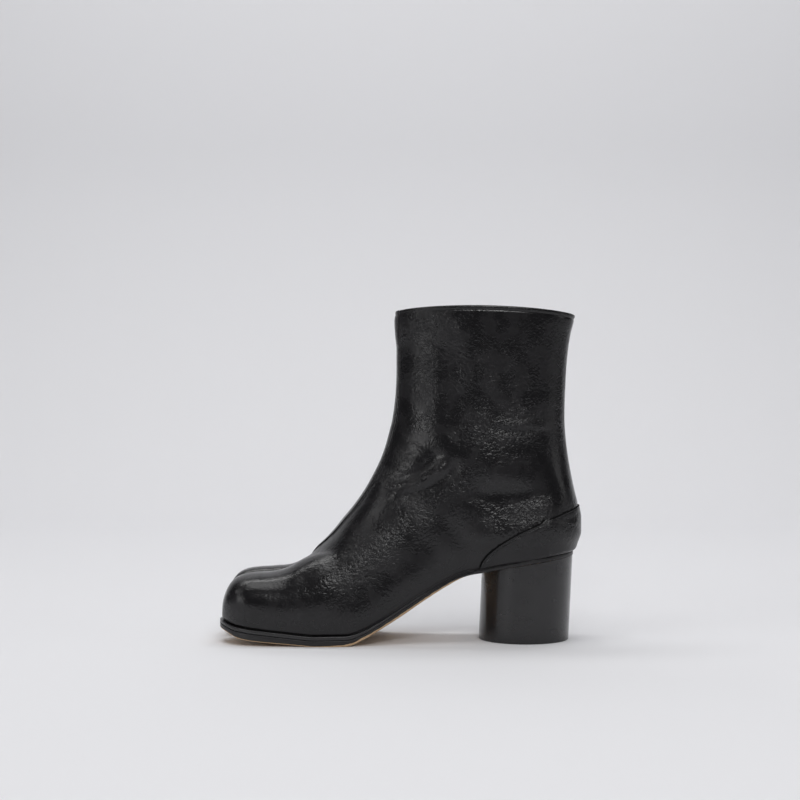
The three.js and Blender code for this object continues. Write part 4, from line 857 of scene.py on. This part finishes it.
TUCK, TUCK_REACH = 0.75, 0.9  # how the leather turns in to the feather line
FRONT_RIDGE, FRONT_RIDGE_AT, FRONT_RIDGE_WIDTH = 0.22, 0.874, 0.006
BEAD, BEAD_AT, BEAD_WIDTH = 0.25, 1.3, 1.0  # the collar's folded edge, from its top
BEAD_GROOVE, GROOVE_AT, GROOVE_WIDTH = 0.3, 3.1, 0.5
LIP, LIP_REACH = 0.7, 0.9  # rounding of the collar's rim
UNDERLAP, UNDERLAP_EDGE, UNDERLAP_RUN = 0.9, 0.9, 1.2  # the upper sinks under the counter
SEAM_DIP, SEAM_DIP_AT, SEAM_DIP_WIDTH = 0.35, 0.6, 1.2
FOLDS_RISE, FOLDS_EASE = 12, 8  # folds start over the feather line and fade at the collar
WORN_HEIGHT = 14  # the polish is duller up to here over the feather line
NO_STITCHES = 9  # a distance at which no thread shows


def bell(distance, width):
    """1 at no distance, falling softly to 0 over this width."""
    return np.exp(-((distance / width) ** 2))


def upper_half(side):
    """Outer and inner skins of one half, and the values that its leather's finish follows."""
    u, place = upper_u[:, None], upper_place[None, :]
    points = last_surface(side, u, place)
    normals = outward(side, u, place)
    u, place = np.broadcast_arrays(u, place)
    behind_root, up_back = u >= ROOT_U - 1e-5, u >= CORNER_U - 1e-5
    shared = (behind_root & (place == 1)) | (up_back & (place == 0))
    both = normals + outward("inner" if side == "outer" else "outer", u, place)
    both[..., 1] = 0
    normals = np.where(shared[..., None], both, normals)
    on_feather = ((place == 0) & (u <= CORNER_U + 1e-5)) | ((place == 1) & (u <= ROOT_U + 1e-5)) | (u == 0)
    level = on_feather | (u == COLLAR_U)
    normals[..., 2] = np.where(level, 0, normals[..., 2])
    normals = unit(np.where((u == 0)[..., None], [-1.0, 0, 0], normals))
    x, z = points[..., 0], points[..., 2]
    valley = (1 - np.clip((points[:, :1, 0] - ROOT_X) / CLEFT_RISE, 0, 1)) ** CLEFT_RISE_POWER
    seam = np.where(behind_root, 1 - valley, 0)
    steps = np.linalg.norm(np.diff(points, axis=0), axis=-1)
    from_collar = np.zeros(x.shape)
    from_collar[:-1] = np.cumsum(steps[::-1], axis=0)[::-1]
    above = z - feather(x)
    over_seam = z - seam_z(x)
    tuck = -TUCK * bell(np.maximum(above, 0), TUCK_REACH) * (above < 8)
    strip = STRIP_RISE * smooth((place - STRIP_EDGE + 0.004) / 0.008) * seam
    ridge = FRONT_RIDGE * bell(place - FRONT_RIDGE_AT, FRONT_RIDGE_WIDTH) * seam
    bead = BEAD * bell(from_collar - BEAD_AT, BEAD_WIDTH)
    bead = bead - BEAD_GROOVE * bell(from_collar - GROOVE_AT, GROOVE_WIDTH)
    lip = -LIP * (1 - np.sqrt(1 - np.clip(1 - from_collar / LIP_REACH, 0, 1) ** 2))
    under = UNDERLAP * smooth((-UNDERLAP_EDGE - over_seam) / UNDERLAP_RUN) * (x > COUNTER_FRONT)
    dip = SEAM_DIP * bell(over_seam - SEAM_DIP_AT, SEAM_DIP_WIDTH) * (x > COUNTER_FRONT)
    out = tuck + strip + ridge + bead + lip - dip - under
    folds = fold_height(points, normals) * smooth(above / FOLDS_RISE)
    folds = folds * (1 - 0.8 * smooth(1 - from_collar / FOLDS_EASE))
    outer = points + normals * (out + folds)[..., None]
    inner = points + normals * (np.minimum(folds, 0) - WALL - lip)[..., None]
    outer[..., 2] = np.where(on_feather, feather(outer[..., 0]), outer[..., 2])
    inner[..., 2] = np.where(on_feather, feather(inner[..., 0]), inner[..., 2])
    values = {
        "grain": patches(points, GRAIN_PATCHES),
        "wrinkle": patches(points, WRINKLE_PATCHES),
        "worn": smooth(1 - above / WORN_HEIGHT),
        "off_stitches": 0 * x + NO_STITCHES,
        "on_stitches": 0 * x,
    }
    return outer, inner, values


STITCH = 2.6  # length of one stitch


def noise_vector(material, scale, reach):
    """A small wandering offset, so that cells and lines aren't regular."""
    place = new_node(material, "TexCoord").outputs["Object"]
    cloud = new_node(material, "TexNoise", {"Vector": place, "Scale": scale, "Detail": 2}).outputs["Color"]
    middle = (0.5, 0.5, 0.5)
    centred = new_node(material, "VectorMath", {0: cloud, 1: middle}, operation="SUBTRACT").outputs[0]
    return new_node(material, "VectorMath", {0: centred, "Scale": reach}, operation="SCALE").outputs[0]


def leather_finish(name, **values):
    """Black polished leather: a fine cell grain, broken grain and short wrinkles where its values
    say so, duller patches, and thread dimples along its lines of stitches."""
    made = new_material(name, specular_ior_level=0.42, **values)
    place = new_node(made, "TexCoord").outputs["Object"]
    names = ["grain", "wrinkle", "worn", "off_stitches", "on_stitches"]
    sockets = [new_node(made, "Attribute", attribute_name=key).outputs["Fac"] for key in names]
    grain, wrinkle, worn, off, on = sockets
    wave = math_node(made, "SINE", math_node(made, "MULTIPLY", on, math.pi / STITCH))
    thread = math_node(made, "POWER", math_node(made, "ABSOLUTE", wave), 0.4)
    near = spread(made, math_node(made, "ABSOLUTE", off), 0.16, 0.42, 1, 0)
    stitches = math_node(made, "MULTIPLY", thread, near)
    offset = noise_vector(made, 300, 0.0016)
    bent = new_node(made, "VectorMath", {0: place, 1: offset}, operation="ADD").outputs[0]
    cell_inputs = {"Vector": bent, "Scale": 520}
    cells = new_node(made, "TexVoronoi", cell_inputs, feature="DISTANCE_TO_EDGE").outputs[0]
    cells = spread(made, cells, 0, 0.4)
    cloud = spread(made, noise(made, 70, 3), 0.35, 0.65)
    speckle = spread(made, noise(made, 430, 2, 0.5), 0.3, 0.7)
    amount = math_node(made, "MULTIPLY", grain, spread(made, noise(made, 120, 3), 0.3, 0.62, 0.3, 1))
    amount = math_node(made, "ADD", amount, 0.12)
    slant = {"Vector": bent, "Rotation": (0, 0.75, 0), "Scale": (1, 1, 3.2)}
    turned = new_node(made, "Mapping", slant).outputs[0]
    stroke_inputs = {"Vector": turned, "Scale": 150, "Detail": 3, "Roughness": 0.6}
    strokes = spread(made, new_node(made, "TexNoise", stroke_inputs).outputs[0], 0.35, 0.7)
    # Relief from coarse to fine: soft buckles, wrinkles, broken grain, cells, pores and stitches
    normal = bump(made, noise(made, 34, 2), 1.5, 0.25)
    normal = bump(made, math_node(made, "MULTIPLY", strokes, wrinkle), 0.34, 1.0, normal)
    normal = bump(made, math_node(made, "MULTIPLY", speckle, amount), 0.42, 1.0, normal)
    normal = bump(made, math_node(made, "MULTIPLY", cells, amount), 0.2, 1.0, normal)
    normal = bump(made, noise(made, 1500, 2), 0.02, 0.5, normal)
    normal = bump(made, stitches, 0.3, 0.8, normal)
    blacks = two_colours(made, cloud, (0.0062, 0.0058, 0.0065, 1), (0.0095, 0.0088, 0.0098, 1))
    dull = math_node(made, "ADD", spread(made, cloud, 0, 1, 0.22, 0.29), spread(made, worn, 0, 1, 0, 0.06))
    join(made, blacks, "Base Color")
    join(made, math_node(made, "ADD", dull, math_node(made, "MULTIPLY", grain, 0.05)), "Roughness")
    join(made, normal, "Normal")
    return made


upper_leather = leather_finish("upper_leather")

lining = new_material("lining", base_color=(0.035, 0.031, 0.029, 1), roughness=0.62)
join(lining, bump(lining, noise(lining, 900, 4), 0.08, 0.6), "Normal")


def rim_of(faces):
    """The edges that only one face has, each in that face's own direction."""
    edges = np.stack([faces, np.roll(faces, -1, axis=1)], axis=-1).reshape(-1, 2)
    edges = edges[edges[:, 0] != edges[:, 1]]
    ends = np.sort(edges, axis=1)
    _, first, count = np.unique(ends, axis=0, return_index=True, return_counts=True)
    return edges[first[count == 1]]


def shell(parts):
    """A closed shell of grids of points, each given as its outer skin, inner skin, values and
    whether its faces are turned: all points, all faces, the faces of one skin, and the values.
    First comes the outer skin, then the inner one turned round, then bands along open edges."""
    outer_points, inner_points, faces, values = [], [], [], {}
    for outer, inner, part_values, turned in parts:
        ids = np.arange(outer[..., 0].size).reshape(outer.shape[:2]) + sum(map(len, outer_points))
        outer_points.append(outer.reshape(-1, 3))
        inner_points.append(inner.reshape(-1, 3))
        faces.append(squares(ids, turned))
        for key, value in part_values.items():
            values.setdefault(key, []).append(value.reshape(-1))
    points = np.concatenate(outer_points + inner_points)
    shift = len(points) // 2
    places = np.round(points[:shift] / 0.002).astype(np.int64)
    _, first, number = np.unique(places, axis=0, return_index=True, return_inverse=True)
    joined = first[number.reshape(-1)][np.concatenate(faces)]
    rim = rim_of(joined)
    band = np.stack([rim[:, 1], rim[:, 0], rim[:, 0] + shift, rim[:, 1] + shift], axis=1)
    both = {key: np.tile(np.concatenate(value), 2) for key, value in values.items()}
    return points, np.concatenate([joined, joined[:, ::-1] + shift, band]), len(joined), both


points, faces, skin, values = shell([(*upper_half(side), side == "inner") for side in SIDES])
finishes = np.zeros(len(faces), int)
finishes[skin : 2 * skin] = 1
upper = add_piece("upper_shell", points, faces, [upper_leather, lining], finishes, 50, values)
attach(upper, "root")
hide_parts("upper")


# Counter
# A panel of the same leather round the back of the heel. Its curved upper edge is lapped over the
# upper, with a line of stitches just inside it. The strip along the seam is near-black and dull:
# partly the leather's raw cut edge, partly painted shade of the groove at the seam.

seam_u = np.concatenate([
    u_at(COUNTER_FRONT + 0.02) + np.array([0, 0.15, 0.4, 0.8, 1.4, 2.2]),
    np.arange(u_at(COUNTER_FRONT) + 3.2, heel_u[0] - 0.8, 1.5),
    heel_u,
    np.arange(CORNER_U + 0.6, CORNER_U + 60, 1.3),
])


def below_seam(side, u, place):
    p = last_surface(side, u, place)
    return p[..., 2] - seam_z(p[..., 0])


def seam_place(side, u):
    """Where a slice meets the seam, by halving the stretch that holds it."""
    low, high = np.zeros(u.shape), np.full(u.shape, 0.95)
    for _ in range(40):
        middle = (low + high) / 2
        over = below_seam(side, u, middle) > 0
        high = np.where(over, middle, high)
        low = np.where(over, low, middle)
    return (low + high) / 2


back_u = np.linspace(CORNER_U, CORNER_U + 60, 3000)
COUNTER_TOP_U = float(np.interp(0, below_seam("outer", back_u, np.zeros(back_u.shape)), back_u))
top_u = COUNTER_TOP_U - np.array([0.6, 0.3, 0.12, 0.03, 0])
seam_u = np.unique(np.concatenate([seam_u[seam_u < COUNTER_TOP_U - 0.8], top_u, [CORNER_U]]))
STITCH_LINE, STITCH_GROOVE, STITCH_WIDTH = 2.1, 0.5, 0.35  # from the seam, depth, half-width
EDGE_HEIGHT, EDGE_ROUND, EDGE_REACH = 0.42, 0.4, 0.9  # the panel's edge and its rounded shoulder
SETTLE = 0.25  # the panel lies closer to the upper away from its edge
PANEL_DEPTH, PANEL_LIFT = 0.55, 0.05  # how far it reaches into the upper, and off the feather line
EDGE_AND_SHADE_ROWS = 4  # rows of faces from the seam in near-black: the panel's raw edge and painted shade of the seam's groove
FROM_SEAM = np.array([0, 0.12, 0.3, 0.5, 0.8, 1.1, 1.4, 1.7, 2.0, 2.3, 2.6, 3.0, 3.6])
REST_ROWS = 25  # rows from there to the feather line


def counter_half(side):
    """The panel's skins: slices along it, and across it steps from the seam down to the feather."""
    u = seam_u[:, None]
    edge = seam_place(side, seam_u)[:, None]
    at_seam = last_surface(side, u, edge)
    fine = np.linspace(0, 1, 60)[None, :]
    line = last_surface(side, u, edge * (1 - fine))
    seam_steps = np.linalg.norm(np.diff(at_seam[:, 0], axis=0), axis=-1)
    along_seam = np.concatenate([[0], np.cumsum(seam_steps)])[:, None]
    line_steps = np.linalg.norm(np.diff(line, axis=1), axis=-1)
    length = np.hstack([np.zeros((len(u), 1)), np.cumsum(line_steps, axis=1)])
    total = length[:, -1:]
    rest = np.linspace(0, 1, REST_ROWS + 1)[None, 1:]
    near = np.minimum(FROM_SEAM[None, :], total * np.linspace(0, 0.6, len(FROM_SEAM))[None, :])
    wanted = np.hstack([near, mix(near[:, -1:], total, rest)])
    share = np.stack([np.interp(w, l, fine[0]) for w, l in zip(wanted, length)])
    place = edge * (1 - share)
    points, normals = last_surface(side, u, place), outward(side, u, place)
    up_back = (u >= CORNER_U - 1e-5) & (place <= 1e-9)
    normals[..., 1] = np.where(up_back, 0, normals[..., 1])
    on_feather = (place <= 1e-9) & (u <= CORNER_U + 1e-5)
    normals[..., 2] = np.where(on_feather, 0, normals[..., 2])
    normals = unit(normals)
    x, z = points[..., 0], points[..., 2]
    above = z - feather(x)
    shoulder = np.clip(1 - wanted / EDGE_REACH, 0, 1)
    edge_rise = EDGE_HEIGHT + EDGE_ROUND * np.sqrt(1 - shoulder**2)
    groove = STITCH_GROOVE * bell(wanted - STITCH_LINE, STITCH_WIDTH)
    settle = SETTLE * smooth((wanted - 2.4) / 6)
    out = (edge_rise - groove - settle) * smooth(total / 3) - TUCK * bell(np.maximum(above, 0), TUCK_REACH)
    folds = fold_height(points, normals) * smooth(above / FOLDS_RISE)
    outer = points + normals * (out + folds)[..., None]
    inner = points + normals * (folds - PANEL_DEPTH)[..., None]
    outer[..., 2] = np.where(on_feather, feather(outer[..., 0]) + PANEL_LIFT, outer[..., 2])
    inner[..., 2] = np.where(on_feather, feather(inner[..., 0]) + PANEL_LIFT, inner[..., 2])
    values = {
        "grain": patches(points, GRAIN_PATCHES),
        "wrinkle": 0 * x,
        "worn": smooth(1 - above / WORN_HEIGHT),
        "off_stitches": wanted - STITCH_LINE,
        "on_stitches": along_seam + 0 * x,
    }
    return outer, inner, values


# Near-black, dull finish along the counter's seam: partly the leather's raw cut edge, partly painted shade of
# the groove between panel and upper
edge_and_shade_black = (0.003, 0.003, 0.003, 1)
cut_edge = new_material("cut_edge", base_color=edge_and_shade_black, roughness=0.9, specular_ior_level=0.1)
points, faces, skin, values = shell([(*counter_half(side), side == "outer") for side in SIDES])
# The first rows from the seam on the outer skin take the near-black finish, raw edge and painted seam shade;
# the inner skin and edge band take it too
row = np.arange(len(FROM_SEAM) + REST_ROWS - 1) < EDGE_AND_SHADE_ROWS
finishes = np.ones(len(faces), int)
finishes[:skin] = np.tile(row, skin // len(row))
counter = add_piece("counter_panel", points, faces, [upper_leather, cut_edge], finishes, 50, values)
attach(counter, "root")
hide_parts("heel_counter")


# Overlap of the closing
# The closing's upper flap on the inner side, a strip of the same leather with a round foot. Its
# edge is folded under and stitched all round. The photo's far side hides it, so it is a guess.

PLACKET_WIDTH, PLACKET_LENGTH, PLACKET_SETBACK = 17.5, 108, 21.5
FLAP_THICKNESS, FLAP_STANDS_OFF, FLAP_DEPTH = 1.15, 0.35, 0.6
FLAP_STITCHES, FLAP_GROOVE, FLAP_EDGE = 1.9, 0.3, 0.7
SIDE_STEPS, FOOT_STEPS = 60, 39
collar_back = (0.9832 - 0.5) * SHOE_LENGTH
flap_back = collar_back - PLACKET_SETBACK
flap_middle = flap_back - PLACKET_WIDTH / 2
flap_half = PLACKET_WIDTH / 2
flap_low = COLLAR_HEIGHT - PLACKET_LENGTH
flap_foot = flap_low + flap_half


def on_inner_side(x, z):
    """The slice and place of the inner side's points with these X and Z, by repeated correction."""
    u, place = np.full(x.shape, COLLAR_U), np.full(x.shape, 0.15)
    for _ in range(70):
        p = last_surface("inner", u, place)
        u = np.clip(u + (z - p[..., 2]) * 0.7, CORNER_U, COLLAR_U)
        place = np.clip(place + (p[..., 0] - x) * 0.7 * WIDEST / (ANKLE_DEPTH / 2), 0, WIDEST)
    return u, place


collar_line = last_surface("inner", np.array([COLLAR_U]), np.linspace(0, 0.3, 80))
flap_top = np.interp(flap_middle, collar_line[::-1, 0], collar_line[::-1, 2]) - 0.4
into_flap = np.array([0, 0.1, 0.25, 0.45, 0.7, 1.0, 1.4, 1.65, 1.9, 2.15, 2.4, 3.2, 5, 7, flap_half])[None, :]
down_side = np.linspace(flap_top, flap_foot, SIDE_STEPS)
foot_turn = np.linspace(0, math.pi, FOOT_STEPS + 2)[1:-1]
side_x = np.concatenate([np.ones(SIDE_STEPS), np.cos(foot_turn), -np.ones(SIDE_STEPS)])[:, None]
side_z = np.concatenate([0 * down_side, np.sin(foot_turn), 0 * down_side])[:, None]
base_z = np.concatenate([down_side, np.full(FOOT_STEPS, flap_foot), down_side[::-1]])[:, None]
flap_x = flap_middle + side_x * (flap_half - into_flap)
flap_z = base_z - side_z * (flap_half - into_flap)
flap_u, flap_place = on_inner_side(flap_x, flap_z)
flap_on, flap_out = last_surface("inner", flap_u, flap_place), outward("inner", flap_u, flap_place)
curve = np.sqrt(1 - np.clip(1 - into_flap / FLAP_EDGE, 0, 1) ** 2)
flap_rise = FLAP_STANDS_OFF + FLAP_THICKNESS * (0.35 + 0.65 * curve)
flap_rise = flap_rise - FLAP_GROOVE * bell(into_flap - FLAP_STITCHES, STITCH_WIDTH)
flap_rise = flap_rise * np.ones_like(flap_x)
flap_outer = flap_on + flap_out * flap_rise[..., None]
flap_inner = flap_on - flap_out * FLAP_DEPTH
flap_steps = np.hypot(np.diff(flap_x[:, 0]), np.diff(flap_z[:, 0]))
flap_along = np.concatenate([[0], np.cumsum(flap_steps)])[:, None]
flap_values = {
    "grain": 0 * flap_x + 0.15,
    "wrinkle": 0 * flap_x,
    "worn": 0 * flap_x,
    "off_stitches": into_flap - FLAP_STITCHES + 0 * flap_x,
    "on_stitches": flap_along + 0 * flap_x,
}
points, faces, _, values = shell([(flap_outer, flap_inner, flap_values, False)])
flap = add_piece("closing_flap", points, faces, [upper_leather], sharp=50, values=values)
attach(flap, "root")
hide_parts("placket")


# Clasps and insole
# Five stamped metal plates are sewn to the flap's edge, and the board inside the boot has a dark
# leather sock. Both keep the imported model's shapes and only get a finish here.

clasp_metal = new_material("clasp_metal", base_color=(0.62, 0.6, 0.56, 1), metallic=1.0, roughness=0.34)
brushed = noise(clasp_metal, 900, 3, 0.6, (1, 1, 6))
join(clasp_metal, spread(clasp_metal, brushed, 0.25, 0.75, 0.26, 0.44), "Roughness")
join(clasp_metal, bump(clasp_metal, brushed, 0.03, 0.5), "Normal")
sock_leather = new_material("sock_leather", base_color=(0.03, 0.027, 0.025, 1), roughness=0.55)
sock_grain = noise(sock_leather, 1400, 3)
join(sock_leather, bump(sock_leather, sock_grain, 0.06, 0.6), "Normal")
for node, finish in [("insole", sock_leather)] + [(f"clasp_{k}", clasp_metal) for k in range(1, 6)]:
    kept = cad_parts[node]
    for slot in kept.material_slots:
        slot.material = finish
